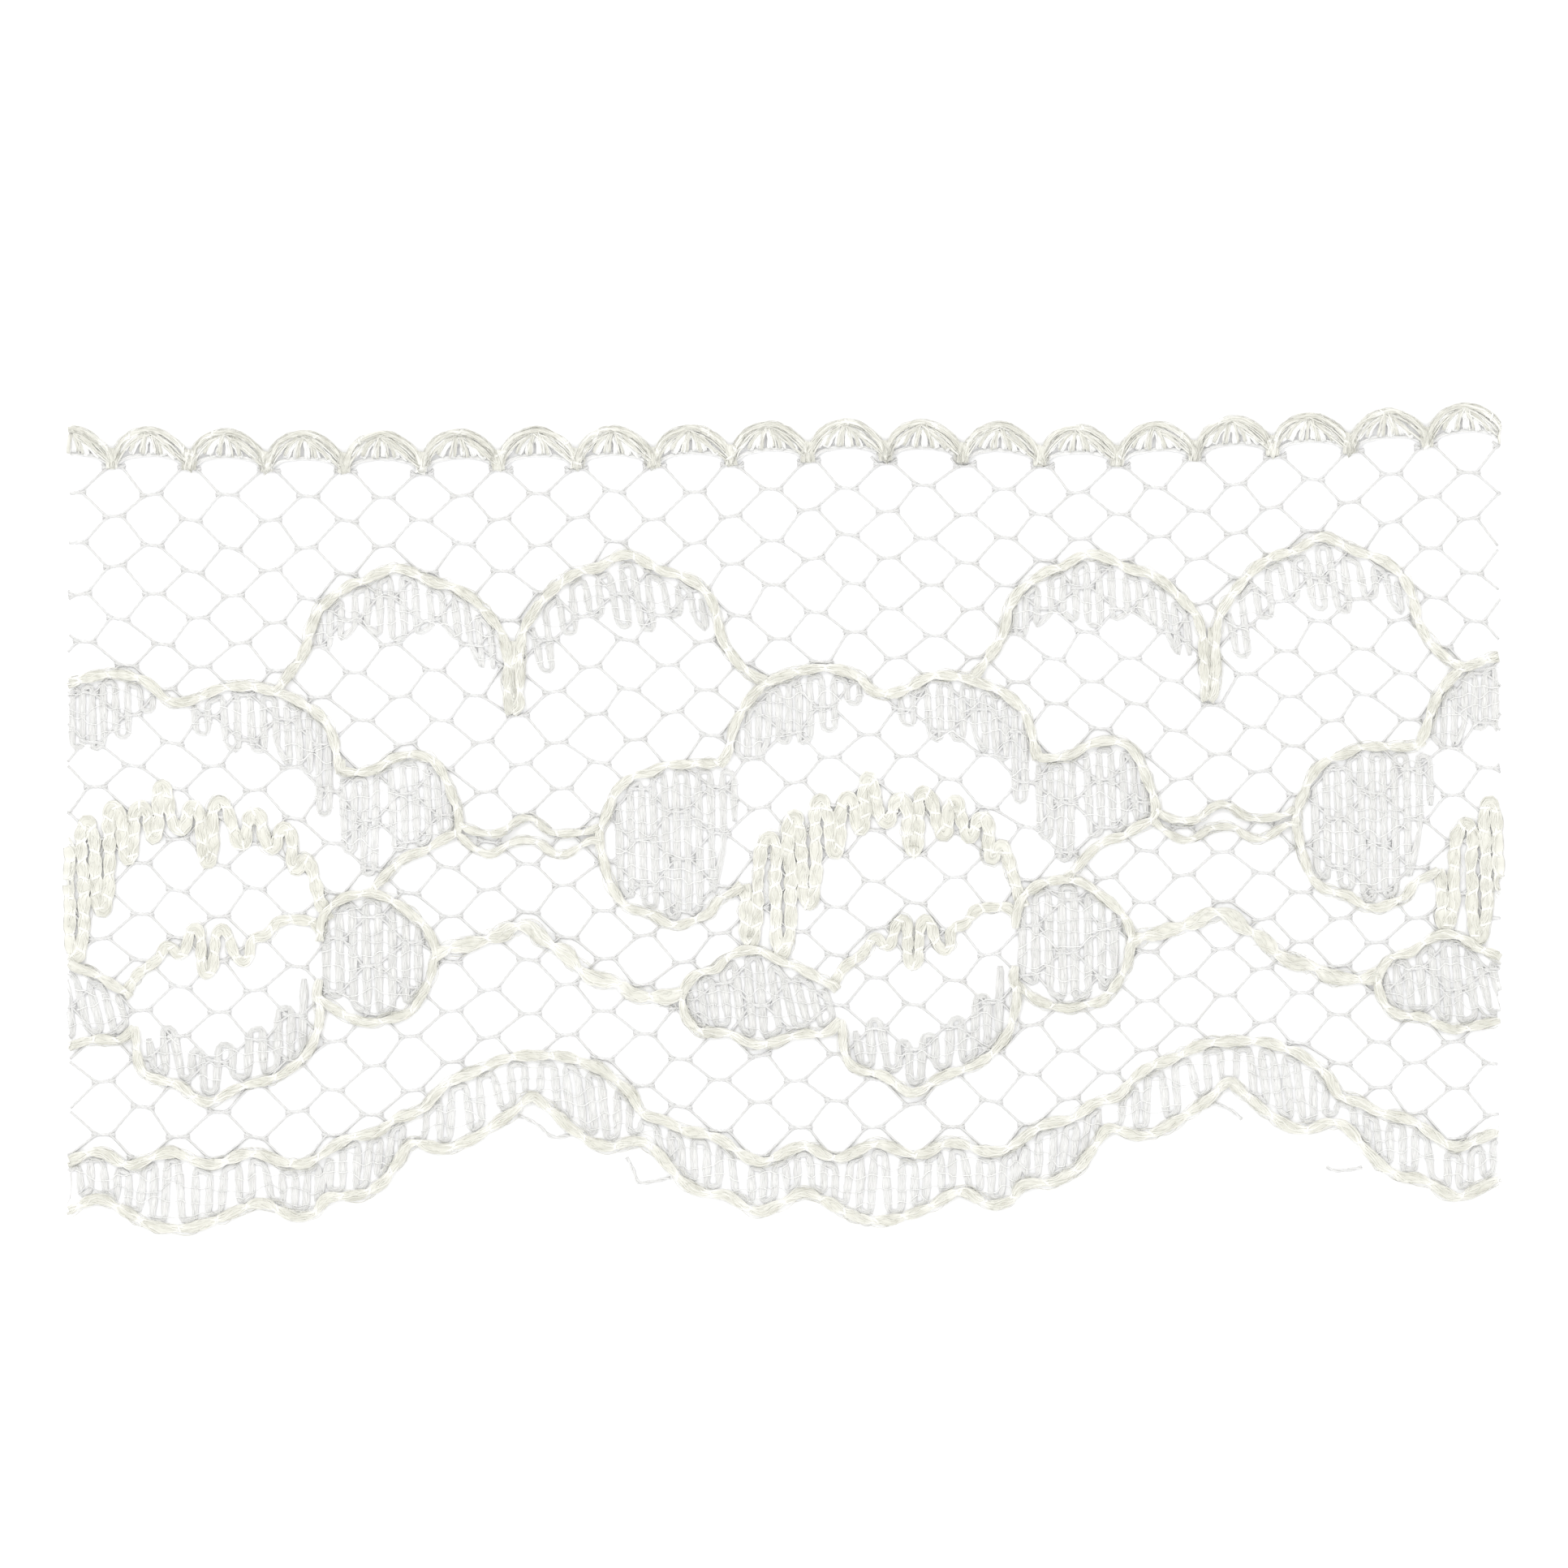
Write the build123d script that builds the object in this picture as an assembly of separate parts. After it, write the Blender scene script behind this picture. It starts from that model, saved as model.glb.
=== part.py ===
from build123d import *
import math
import os

# ---------------------------------------------------------------------------------------------
# A cut length of knitted lace edging lying flat. Its own frame: +X along the lace, +Y across it
# towards the straight-hung heading, +Z up, origin at the middle of the underside.
# All points below are millimetres: x from the left cut end, y from the hem's lowest point.
# ---------------------------------------------------------------------------------------------

LENGTH = 88.4            # between the two cut ends
LOWEST = -0.13           # the hem's lowest edge and the heading's highest, as the lace lies
HIGHEST = 51.10
REPEAT = 42.87           # one pattern repeat along the lace
LEFT_SLIP = 0.65         # the left repeat is pulled this much further out
SLIP_SPAN = (51.0, 57.5)

# heights of the three yarn layers
NET_TOP = 0.20
RIB_TOP = 0.50
CORD_TOP = 0.90

# yarn widths
CORD_W = 0.70
LEAF_CORD_W = 0.60
HEM_CORD_W = 0.60
HEADING_CORD_W = 0.50
STEM_W = 0.75
LOOP_W = 0.40
RIB_W = 0.46
HEM_RIB_W = 0.42
THREAD_W = 0.20
BEVEL = 0.4              # how far a sharp turn's bevel reaches past the turn, in half widths
LOOP_REACH = 14          # how many outline points a small loop may take
SHARP = 0.2              # cosine of the turn from which a bend counts as sharp
LEAST_SPREAD = 0.15      # keeps the point of a folded-back turn from running far out
SAME_POINT = 0.01        # outline points closer than this are one
SIGHT_MARGIN = 0.6       # a yarn must reach this far inside a cut end to be worth making
REPEATS = (-1, 0, 1)     # the repeats that show, the middle one drawn below

# the lace lies slightly wavy: how far each station along it has risen, at the hem and at the heading
RISE = [(0, 0), (18, -0.3), (34, 0), (50, 0.42), (66, 0.6), (80, 1.15), (LENGTH, 1.15)]
HEADING_RISE = [(0, 0), (18, -0.3), (34, 0), (50, 0.45), (63, 0.1), (76, 0.8), (LENGTH, 1.5)]
BLEND_FROM = 36.0
BLEND_TO = 44.0

# ground net: columns of double-thread links, joined by single slanted threads
COLUMN = REPEAT / 18
ROW = 3.03
LINK_HALF = 0.65
LINK_Y = 45.5
FIRST_LINK_X = 0.5
LINK_HALF_W = 0.18
SLANT_CLEAR = 0.14
NET_TOP_EDGE = 47.75
NET_MARGIN = 0.28
NET_EDGE_STEPS = 60      # stretches in the plate's top edge
NET_COLUMNS = range(-2, 38)
NET_ROWS = range(-1, 16)
SAME_CORNER = 0.08       # mesh corners closer than this are one
LEAST_MESH = 0.8         # square millimetres; a smaller leftover mesh stays filled
LEAN = 1.7               # the wales lean this far from the heading to half-way down
LEAN_DEPTH = 24.0

# heading scallops
SCALLOP = REPEAT / 9
FIRST_TIP = 0.45
SCALLOPS = range(-1, 20)
SCALLOP_CORD = [(-2.15, 47.3), (-1.85, 48.1), (-1.5, 48.75), (-0.9, 49.15), (0, 49.4),
                (0.75, 49.15), (1.4, 48.75), (1.95, 48.3), (2.35, 47.85)]
SCALLOP_RIBS = [(-1.05, 48.9, -1.2, 48.05), (-0.45, 49.05, -0.55, 48.05), (0.15, 49.05, 0.15, 48.05),
                (0.65, 48.85, 0.85, 48.05), (1.2, 48.6, 1.55, 48.05)]
SCALLOP_RIB_W = 0.3
VALLEY = (2.38, 47.65)

# outline cords and stems of one repeat
ARCH_CORD_LEFT = [(13.5, 34.05), (14.1, 34.85), (14.65, 35.6), (14.95, 36.5), (15.15, 37.5),
                  (15.5, 38.3), (16.2, 38.95), (17.0, 39.5), (17.7, 39.95), (18.5, 40.1), (19.2, 40.6),
                  (20.1, 40.95), (21.1, 40.75), (21.9, 40.3), (22.7, 39.95), (23.6, 39.85), (24.6, 39.35),
                  (25.4, 38.6), (26.1, 37.9), (26.75, 37.1), (27.1, 36.2), (27.18, 35.2), (27.18, 34.2),
                  (27.18, 33.2), (27.25, 32.3)]
ARCH_CORD_RIGHT = [(27.9, 32.4), (27.93, 33.3), (27.93, 34.3), (27.93, 35.3), (27.97, 36.3), (28.2, 37.2),
                   (28.75, 38.2), (29.4, 39.0), (30.1, 39.75), (30.9, 40.35), (31.8, 40.75), (32.6, 40.8),
                   (33.3, 41.2), (34.0, 41.7), (34.7, 41.75), (35.4, 41.4), (36.2, 40.9), (37.1, 40.6),
                   (37.9, 40.45), (38.7, 40.0), (39.4, 39.4), (39.9, 38.5), (40.15, 37.6), (40.3, 36.7),
                   (40.75, 35.8), (41.4, 35.0), (42.1, 34.45)]
CLOUD_CORD = [(40.7, 29.45), (40.85, 29.9), (41.0, 30.6), (41.3, 31.5), (41.75, 32.4), (42.4, 33.2),
              (43.0, 33.75), (43.9, 34.15), (44.7, 34.45), (45.5, 34.65), (46.4, 34.75), (47.3, 34.7),
              (48.2, 34.5), (48.9, 34.1), (49.4, 33.5), (50.1, 33.1), (50.9, 33.15), (51.7, 33.4),
              (52.5, 33.95), (53.4, 34.25), (54.4, 34.3), (55.4, 34.1), (56.4, 33.8), (57.3, 33.4),
              (58.1, 32.95), (58.8, 32.4), (59.2, 31.6), (59.4, 30.8), (59.6, 29.95)]
SMALL_PETAL_CORD = [(16.95, 28.35), (17.7, 28.35), (18.5, 28.35), (19.2, 28.55), (19.9, 29.1), (20.8, 29.4),
                    (21.8, 29.4), (22.6, 29.1), (23.1, 28.5), (23.45, 27.7), (23.75, 26.9), (24.05, 26.1),
                    (24.25, 25.3), (24.1, 24.6), (23.5, 24.3), (22.8, 24.0), (22.2, 23.5), (21.4, 23.35),
                    (20.7, 23.0), (20.1, 22.4), (19.5, 21.8), (19.0, 21.25)]
LARGE_PETAL_CORD = [(40.3, 28.9), (39.5, 28.85), (38.6, 28.85), (37.8, 28.8), (37.0, 28.8), (36.4, 28.6),
                    (35.8, 28.25), (35.1, 28.15), (34.5, 27.8), (33.95, 27.3), (33.6, 26.6), (33.3, 25.8),
                    (32.95, 25.1), (32.8, 24.4), (32.95, 23.5), (33.15, 22.7), (33.4, 21.8), (33.7, 20.95),
                    (34.2, 20.3), (34.8, 19.9), (35.5, 19.75), (36.1, 19.6), (36.7, 19.15), (37.3, 18.9),
                    (37.9, 18.85), (38.5, 19.1), (39.1, 19.4), (39.7, 19.65), (40.0, 20.3), (40.5, 20.75),
                    (41.1, 20.95)]
LOOP_STEM_UPPER = [(24.85, 24.75), (25.5, 24.55), (26.2, 24.5), (26.9, 24.65), (27.4, 25.1),
                   (27.9, 25.45), (28.4, 25.55), (28.9, 25.35), (29.4, 24.9), (29.9, 24.6), (30.6, 24.5),
                   (31.3, 24.55), (32.1, 24.65)]
LOOP_STEM_LOWER = [(24.8, 23.9), (25.4, 23.45), (26.1, 23.25), (26.7, 23.5), (27.2, 23.9),
                   (27.8, 24.1), (28.5, 24.15), (29.1, 24.05), (29.6, 23.6), (30.2, 23.25), (30.9, 23.25),
                   (31.4, 23.6), (31.9, 23.9)]
WAVE_STEM = [(23.35, 17.35), (23.8, 17.45), (24.4, 17.6), (25.2, 17.85), (26.0, 18.05), (26.8, 18.3),
             (27.4, 18.75), (28.1, 18.9), (28.7, 18.7), (29.2, 18.2), (29.8, 17.7), (30.5, 17.35),
             (31.1, 16.8), (31.6, 16.2), (32.3, 15.7), (33.0, 15.5), (33.7, 15.45), (34.3, 15.1),
             (34.9, 14.65), (35.6, 14.5), (36.4, 14.45), (37.2, 14.45)]
ROUND_LEAF_CORD = [(15.6, 18.8), (15.85, 19.6), (16.4, 20.2), (17.2, 20.65), (18.1, 20.85), (19.0, 20.85),
                   (19.8, 20.6), (20.6, 20.1), (21.4, 19.5), (22.0, 18.9), (22.5, 18.2), (22.75, 17.4),
                   (22.65, 16.5), (22.45, 15.7), (22.1, 14.9), (21.6, 14.1), (21.0, 13.4), (20.2, 13.2),
                   (19.5, 13.05), (18.9, 12.85), (18.1, 13.0), (17.3, 13.25), (16.6, 13.7)]
LEFT_LEAF_CORD = [(47.2, 15.2), (46.7, 15.45), (46.0, 15.85), (45.2, 16.25), (44.5, 16.5), (43.9, 16.7),
                  (43.3, 17.1), (42.6, 17.4), (41.8, 17.4), (41.1, 17.15), (40.5, 16.7), (40.0, 16.2),
                  (39.4, 16.1), (38.8, 15.9), (38.3, 15.4), (37.95, 14.75), (37.9, 14.0), (38.15, 13.2),
                  (38.6, 12.6), (39.2, 12.3), (39.9, 12.3), (40.7, 12.3), (41.4, 11.95), (42.1, 11.6),
                  (42.8, 11.5), (43.6, 11.7), (44.4, 11.95), (45.1, 12.2), (45.8, 12.25), (46.5, 12.15),
                  (47.1, 12.4), (47.5, 12.8)]
CRESCENT_CORD = [(47.8, 12.35), (47.85, 11.6), (47.95, 10.9), (48.3, 10.25), (48.9, 9.95), (49.6, 9.8),
                 (50.3, 9.65), (50.9, 9.25), (51.5, 8.8), (52.05, 8.5), (52.7, 8.75), (53.3, 9.2),
                 (54.0, 9.6), (54.8, 9.9), (55.6, 10.1), (56.3, 10.5), (57.0, 11.0), (57.6, 11.6),
                 (58.05, 12.4), (58.35, 13.2), (58.5, 14.0), (58.5, 14.8), (58.3, 15.6)]

# the rose's thick finger yarn and the sprig inside it
RING_YARN = [(41.85, 20.5), (41.85, 19.6), (41.8, 18.6), (41.85, 17.95), (42.1, 17.75), (42.35, 18.0),
             (42.5, 19.0), (42.6, 20.3), (42.6, 21.6), (42.65, 22.8), (42.85, 23.8), (43.2, 24.35),
             (43.55, 24.3), (43.8, 23.7), (43.7, 22.6), (43.6, 21.5), (43.75, 20.4), (43.7, 19.3),
             (43.75, 18.1), (43.9, 17.3), (44.1, 17.05), (44.35, 17.4), (44.55, 18.3), (44.65, 19.5),
             (44.6, 20.8), (44.6, 22.1), (44.5, 23.3), (44.4, 24.5), (44.5, 25.35), (44.8, 25.7),
             (45.1, 25.35), (45.25, 24.3), (45.3, 23.1), (45.35, 21.9), (45.4, 20.8), (45.55, 20.2),
             (45.75, 20.05), (46.0, 20.5), (46.15, 21.6), (46.2, 22.8), (46.15, 24.0), (46.1, 25.2),
             (46.15, 26.3), (46.45, 26.75), (46.8, 26.4), (46.92, 25.5), (47.0, 24.5), (47.15, 23.6),
             (47.35, 23.2), (47.6, 23.6), (47.7, 24.6), (47.65, 25.7), (47.75, 26.5), (48.1, 26.85),
             (48.45, 26.5), (48.6, 25.8), (48.65, 25.0), (48.9, 24.6), (49.15, 25.0), (49.2, 26.0),
             (49.1, 27.1), (49.2, 27.8), (49.45, 28.1), (49.7, 27.7), (49.8, 26.9), (49.95, 26.0),
             (50.25, 25.35), (50.6, 25.15), (50.85, 25.6), (51.0, 26.5), (51.35, 26.95), (51.7, 26.5),
             (51.8, 25.4), (51.85, 24.3), (51.95, 23.5), (52.15, 23.2), (52.4, 23.6), (52.5, 24.7),
             (52.45, 25.8), (52.5, 26.8), (52.85, 27.25), (53.2, 26.9), (53.45, 26.1), (53.65, 25.2),
             (53.8, 24.6), (54.05, 24.35), (54.3, 24.7), (54.3, 25.5), (54.4, 26.3), (54.7, 26.65),
             (55.0, 26.3), (55.15, 25.5), (55.3, 24.7), (55.6, 24.2), (55.9, 24.5), (56.05, 25.3),
             (56.4, 25.75), (56.75, 25.4), (56.8, 24.5), (56.75, 23.5), (56.95, 22.9), (57.2, 23.15),
             (57.4, 23.8), (57.75, 23.8), (58.05, 22.9), (58.3, 22.0), (58.5, 21.2), (58.7, 20.6)]
SPRIG_YARN = [(47.55, 15.75), (47.85, 16.3), (48.3, 16.7), (48.9, 17.0), (49.3, 17.4), (49.55, 18.0),
              (49.85, 18.2), (50.15, 17.85), (50.5, 17.45), (50.8, 17.7), (50.95, 18.5), (51.2, 19.15),
              (51.55, 19.35), (51.8, 18.9), (51.8, 17.8), (51.85, 16.7), (52.1, 16.3), (52.45, 16.7),
              (52.55, 17.8), (52.6, 18.9), (52.95, 19.4), (53.3, 19.0), (53.5, 18.1), (53.8, 17.45),
              (54.15, 17.25), (54.45, 17.6), (54.45, 18.4), (54.75, 18.8), (55.3, 18.9), (55.65, 19.35),
              (56.0, 19.85), (56.6, 20.05), (57.3, 20.0), (58.0, 20.0), (58.3, 19.7)]

# the filling yarn's passes in each motif: x and y at the top, then x and y at the bottom
ARCH_RIBS_LEFT = [(15.6, 37.8, 15.6, 36.0), (16.25, 38.4, 16.2, 35.9), (16.95, 39.0, 16.85, 36.4),
                  (17.75, 39.4, 17.8, 37.3), (18.55, 39.7, 18.5, 37.3), (19.25, 40.0, 19.35, 36.7),
                  (19.95, 40.4, 20.05, 36.5), (20.65, 40.4, 20.85, 36.5), (21.45, 40.1, 21.6, 36.8),
                  (22.3, 39.7, 22.55, 37.3), (23.1, 39.4, 23.3, 37.3), (23.85, 39.2, 24.2, 36.4),
                  (24.6, 38.8, 24.9, 36.2), (25.3, 38.1, 25.65, 34.6), (26.05, 37.3, 26.3, 34.7)]
ARCH_RIBS_RIGHT = [(28.75, 37.2, 29.25, 34.6), (29.5, 38.3, 29.95, 34.5), (30.3, 39.1, 30.65, 36.9),
                   (31.1, 39.8, 31.4, 36.9), (31.9, 40.2, 32.25, 38.0), (32.7, 40.3, 33.0, 37.9),
                   (33.45, 40.6, 33.95, 37.4), (34.15, 41.1, 34.7, 37.2), (34.85, 41.1, 35.45, 37.2),
                   (35.75, 40.5, 36.2, 37.0), (36.7, 40.1, 37.1, 38.0), (37.6, 40.0, 37.85, 38.0),
                   (38.35, 39.6, 38.7, 37.7), (39.05, 39.0, 39.45, 37.0)]
CLOUD_RIBS_LEFT = [(41.35, 30.9, 41.3, 29.5), (42.0, 31.9, 41.95, 28.9), (42.65, 32.8, 42.6, 28.9),
                   (43.25, 33.3, 43.25, 30.4), (43.9, 33.5, 43.85, 30.2), (44.5, 33.8, 44.5, 30.1),
                   (45.1, 34.0, 45.15, 30.0), (45.75, 34.2, 45.85, 30.4), (46.5, 34.3, 46.6, 30.9),
                   (47.25, 34.2, 47.35, 30.9), (48.05, 34.0, 48.1, 32.6), (48.8, 33.6, 48.85, 32.5)]
CLOUD_RIBS_RIGHT = [(51.35, 33.0, 51.5, 31.3), (52.15, 33.2, 52.2, 31.2), (53.0, 33.6, 53.15, 30.6),
                    (53.75, 33.8, 53.85, 30.2), (54.45, 33.8, 54.6, 30.3), (55.15, 33.7, 55.25, 30.3),
                    (55.8, 33.6, 55.95, 30.6), (56.45, 33.3, 56.65, 29.4), (57.1, 33.1, 57.3, 29.3),
                    (57.75, 32.8, 57.9, 29.0), (58.4, 32.2, 58.45, 26.5), (59.0, 31.4, 59.05, 26.5)]
SMALL_PETAL_RIBS = [(17.0, 27.9, 17.15, 23.4), (17.7, 27.9, 17.75, 23.4), (18.4, 28.0, 18.3, 22.0),
                    (19.1, 28.2, 18.95, 22.1), (19.95, 28.7, 20.2, 23.5), (20.7, 28.9, 20.9, 23.7),
                    (21.45, 28.9, 21.6, 23.8), (22.15, 28.8, 22.35, 24.1), (22.8, 28.2, 23.05, 24.5),
                    (23.4, 27.2, 23.7, 24.8)]
LARGE_PETAL_RIBS = [(34.0, 26.4, 34.15, 21.2), (34.7, 27.5, 34.85, 20.5), (35.4, 27.7, 35.6, 20.2),
                    (36.1, 28.0, 36.35, 20.0), (36.8, 28.3, 37.05, 19.5), (37.5, 28.4, 37.7, 19.3),
                    (38.2, 28.4, 38.35, 19.5), (38.9, 28.4, 39.05, 19.9), (39.65, 28.4, 39.8, 20.7),
                    (40.4, 28.4, 40.5, 23.8), (41.1, 28.3, 41.15, 25.3)]
ROUND_LEAF_RIBS = [(16.0, 19.3, 16.0, 14.9), (16.8, 19.9, 16.85, 14.4), (17.6, 20.2, 17.7, 13.9),
                   (18.4, 20.4, 18.55, 13.5), (19.2, 20.4, 19.25, 13.5), (20.05, 20.0, 20.1, 13.7),
                   (20.9, 19.5, 20.9, 14.0), (21.65, 18.8, 21.7, 15.0)]
LEFT_LEAF_RIBS = [(38.35, 14.9, 38.7, 12.9), (39.0, 15.5, 39.35, 12.7), (39.7, 15.7, 40.0, 12.7),
                  (40.4, 16.1, 40.8, 12.8), (41.15, 16.7, 41.6, 12.5), (41.9, 16.9, 42.3, 12.0),
                  (42.65, 16.9, 43.0, 12.0), (43.35, 16.5, 43.95, 12.4), (44.1, 15.9, 44.85, 12.7),
                  (44.85, 15.8, 45.7, 12.7), (45.8, 15.4, 46.5, 12.6), (46.65, 15.0, 47.25, 13.2)]
CRESCENT_RIBS = [(48.6, 12.4, 48.95, 10.3), (49.45, 13.1, 49.65, 10.2), (50.1, 13.1, 50.6, 10.0),
                 (51.2, 11.7, 51.3, 10.0), (51.85, 11.8, 51.95, 9.2), (52.8, 12.2, 52.6, 9.2),
                 (53.55, 12.1, 53.5, 10.2), (54.45, 13.1, 54.35, 10.2), (55.15, 13.3, 55.2, 10.4),
                 (56.0, 14.5, 55.95, 10.9), (56.75, 14.6, 56.7, 11.3), (57.5, 16.4, 57.4, 12.0)]

# the hem band of one repeat: its two cords and the passes between them
HEM_UPPER = [(16.1, 5.0), (16.8, 5.5), (17.5, 5.85), (18.4, 6.0), (19.2, 6.15), (19.8, 6.6), (20.4, 7.05),
             (21.2, 7.25), (22.0, 7.55), (22.4, 8.15), (22.9, 8.7), (23.6, 9.2), (24.4, 9.6), (25.2, 9.9),
             (25.8, 10.1), (26.4, 10.45), (27.2, 10.75), (28.0, 10.85), (28.9, 10.9), (29.8, 10.9),
             (30.6, 10.8), (31.4, 10.6), (32.2, 10.3), (33.0, 10.0), (33.6, 9.55), (34.3, 9.0), (34.9, 8.4),
             (35.2, 7.75), (35.6, 7.2), (36.2, 7.05), (36.9, 6.85), (37.5, 6.5), (38.1, 6.2), (38.9, 6.1),
             (39.6, 6.0), (40.3, 5.75), (40.9, 5.3), (41.6, 4.8), (42.3, 4.4), (43.0, 4.3), (43.6, 4.6),
             (44.2, 4.9), (44.9, 5.2), (45.5, 5.3), (46.2, 5.1), (46.8, 4.7), (47.5, 4.5), (48.2, 4.75),
             (48.9, 5.1), (49.6, 5.4), (50.2, 5.45), (50.9, 5.2), (51.6, 4.9), (52.2, 4.7), (52.8, 4.8),
             (53.4, 5.1), (54.0, 5.45), (54.8, 5.55), (55.5, 5.35), (56.2, 5.0), (56.9, 4.9), (57.6, 5.0),
             (58.2, 5.3)]
HEM_LOWER = [(15.9, 2.15), (16.6, 2.2), (17.4, 2.2), (18.2, 2.3), (19.0, 2.7), (19.6, 3.2), (20.1, 3.9),
             (20.6, 4.6), (20.95, 5.25), (21.4, 5.6), (22.0, 5.45), (22.6, 5.2), (23.2, 5.1), (23.9, 5.25),
             (24.6, 5.5), (25.3, 5.9), (25.9, 6.3), (26.6, 6.8), (27.3, 7.2), (27.9, 7.7), (28.3, 8.2),
             (28.8, 8.45), (29.2, 8.1), (29.8, 7.55), (30.5, 6.9), (31.2, 6.3), (31.9, 5.8), (32.6, 5.4),
             (33.4, 5.2), (34.0, 5.35), (34.7, 5.6), (35.4, 5.65), (35.95, 5.4), (36.4, 4.9), (36.9, 4.3),
             (37.4, 3.7), (38.0, 3.1), (38.7, 2.65), (39.4, 2.35), (40.2, 2.35), (40.8, 2.2), (41.4, 1.85),
             (42.0, 1.45), (42.6, 1.25), (43.2, 1.35), (43.9, 1.7), (44.6, 2.1), (45.2, 2.45), (45.9, 2.4),
             (46.5, 2.05), (47.2, 1.65), (47.9, 1.3), (48.6, 0.95), (49.3, 0.75), (50.0, 0.75), (50.7, 0.7),
             (51.3, 0.85), (52.0, 1.1), (52.7, 1.35), (53.4, 1.7), (54.1, 2.1), (54.8, 2.5), (55.5, 2.45),
             (56.2, 2.05), (56.8, 1.7), (57.3, 1.65), (57.8, 1.8), (58.3, 2.0)]
HEM_RIBS = [(16.3, 4.7, 16.2, 2.6), (17.05, 5.2, 17.0, 2.6), (18.0, 5.5, 17.8, 2.6), (18.7, 5.6, 18.45, 2.9),
            (19.4, 5.8, 19.1, 3.3), (20.1, 6.3, 19.75, 4.0), (20.8, 6.7, 20.5, 5.1), (22.2, 7.3, 22.1, 5.9),
            (23.0, 8.2, 23.0, 5.6), (23.75, 8.8, 23.6, 5.7), (24.6, 9.1, 24.9, 6.2), (25.4, 9.5, 25.6, 6.7),
            (26.3, 9.8, 26.8, 7.5), (27.3, 10.3, 27.5, 7.9), (28.2, 10.4, 28.25, 8.6), (29.2, 10.4, 29.2, 8.6),
            (30.0, 10.4, 30.3, 7.6), (30.7, 10.3, 31.1, 6.9), (31.4, 10.1, 31.9, 6.4), (32.1, 9.8, 32.6, 6.0),
            (32.9, 9.5, 33.3, 5.7), (33.9, 8.8, 33.95, 5.9), (34.7, 8.0, 34.65, 6.1), (35.35, 6.9, 35.4, 6.2),
            (36.3, 6.6, 36.6, 5.2), (37.1, 6.3, 37.4, 4.3), (37.8, 5.8, 38.0, 3.6), (38.6, 5.7, 38.7, 3.1),
            (39.45, 5.5, 39.45, 2.8), (40.2, 5.4, 40.2, 2.8), (40.9, 4.8, 41.25, 2.4), (42.15, 4.0, 42.25, 1.8),
            (43.0, 3.8, 42.85, 1.8), (43.65, 4.1, 43.6, 2.1), (44.3, 4.4, 44.4, 2.5), (45.0, 4.8, 45.05, 2.9),
            (45.75, 4.8, 45.95, 2.8), (46.65, 4.3, 46.65, 2.4), (47.4, 4.0, 47.3, 2.0), (48.3, 4.3, 48.0, 1.7),
            (49.0, 4.7, 48.8, 1.3), (49.75, 5.0, 49.55, 1.2), (50.4, 4.9, 50.65, 1.2), (51.45, 4.5, 51.45, 1.3),
            (52.3, 4.2, 52.2, 1.6), (53.1, 4.5, 52.9, 1.8), (53.85, 4.9, 53.9, 2.4), (54.55, 5.1, 54.6, 2.9),
            (55.25, 4.9, 55.6, 2.8), (56.2, 4.5, 56.3, 2.5), (57.0, 4.4, 56.95, 2.1), (57.75, 4.6, 57.6, 2.2),
            (58.45, 5.0, 58.3, 2.5)]

# snippets of ground thread left under the hem
CUT_THREADS = [[(27.85, 7.15), (28.6, 6.9), (29.3, 6.4), (29.9, 5.75), (31.0, 5.95)],
               [(34.5, 4.6), (35.0, 3.7), (35.15, 2.95), (36.1, 3.1), (37.2, 3.35)],
               [(70.4, 8.0), (71.1, 7.8), (71.8, 7.5), (72.4, 6.95)],
               [(77.6, 4.0), (78.1, 3.75), (79.2, 3.85), (79.8, 4.0)]]


def smooth(t):
    """eases from 0 to 1"""
    t = min(max(t, 0.0), 1.0)
    return t * t * (3 - 2 * t)


def station(table, x):
    """reads a table of stations along the lace at x, easing between them"""
    for (xa, ya), (xb, yb) in zip(table, table[1:]):
        if x <= xb:
            return ya + (yb - ya) * smooth((x - xa) / (xb - xa))
    return table[-1][1]


def lay(points, repeat=0):
    """where a run of points of the middle repeat lies in another repeat, as the lace really lies"""
    out = []
    for x, y in points:
        xx = x + repeat * REPEAT
        if repeat < 0:
            xx -= LEFT_SLIP * smooth((SLIP_SPAN[1] - x) / (SLIP_SPAN[1] - SLIP_SPAN[0]))
        out.append((xx, y + station(RISE, xx) - station(RISE, x)))
    return out


def to_frame(points):
    """from the cut-end and hem measures to the part's own frame"""
    return [(x - LENGTH / 2, y - (LOWEST + HIGHEST) / 2) for x, y in points]


def line_at(points, x):
    """height of a line of points at x"""
    for (xa, ya), (xb, yb) in zip(points, points[1:]):
        if xa <= x <= xb:
            return ya + (yb - ya) * (x - xa) / (xb - xa)
    return points[0][1] if x < points[0][0] else points[-1][1]


def prism(outline, bottom, top):
    """a flat plate of the outline, between two heights"""
    wire = Wire.make_polygon([(x, y, bottom) for x, y in outline], close=True)
    return Solid.extrude(Face(wire), Vector(0, 0, top - bottom))


def unit(a, b):
    """direction from one point to the next"""
    length = math.hypot(b[0] - a[0], b[1] - a[1])
    return (b[0] - a[0]) / length, (b[1] - a[1]) / length


def offset(point, way, left, ahead=0):
    """a point moved to the left of a direction and along it"""
    return point[0] - way[1] * left + way[0] * ahead, point[1] + way[0] * left + way[1] * ahead


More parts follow.
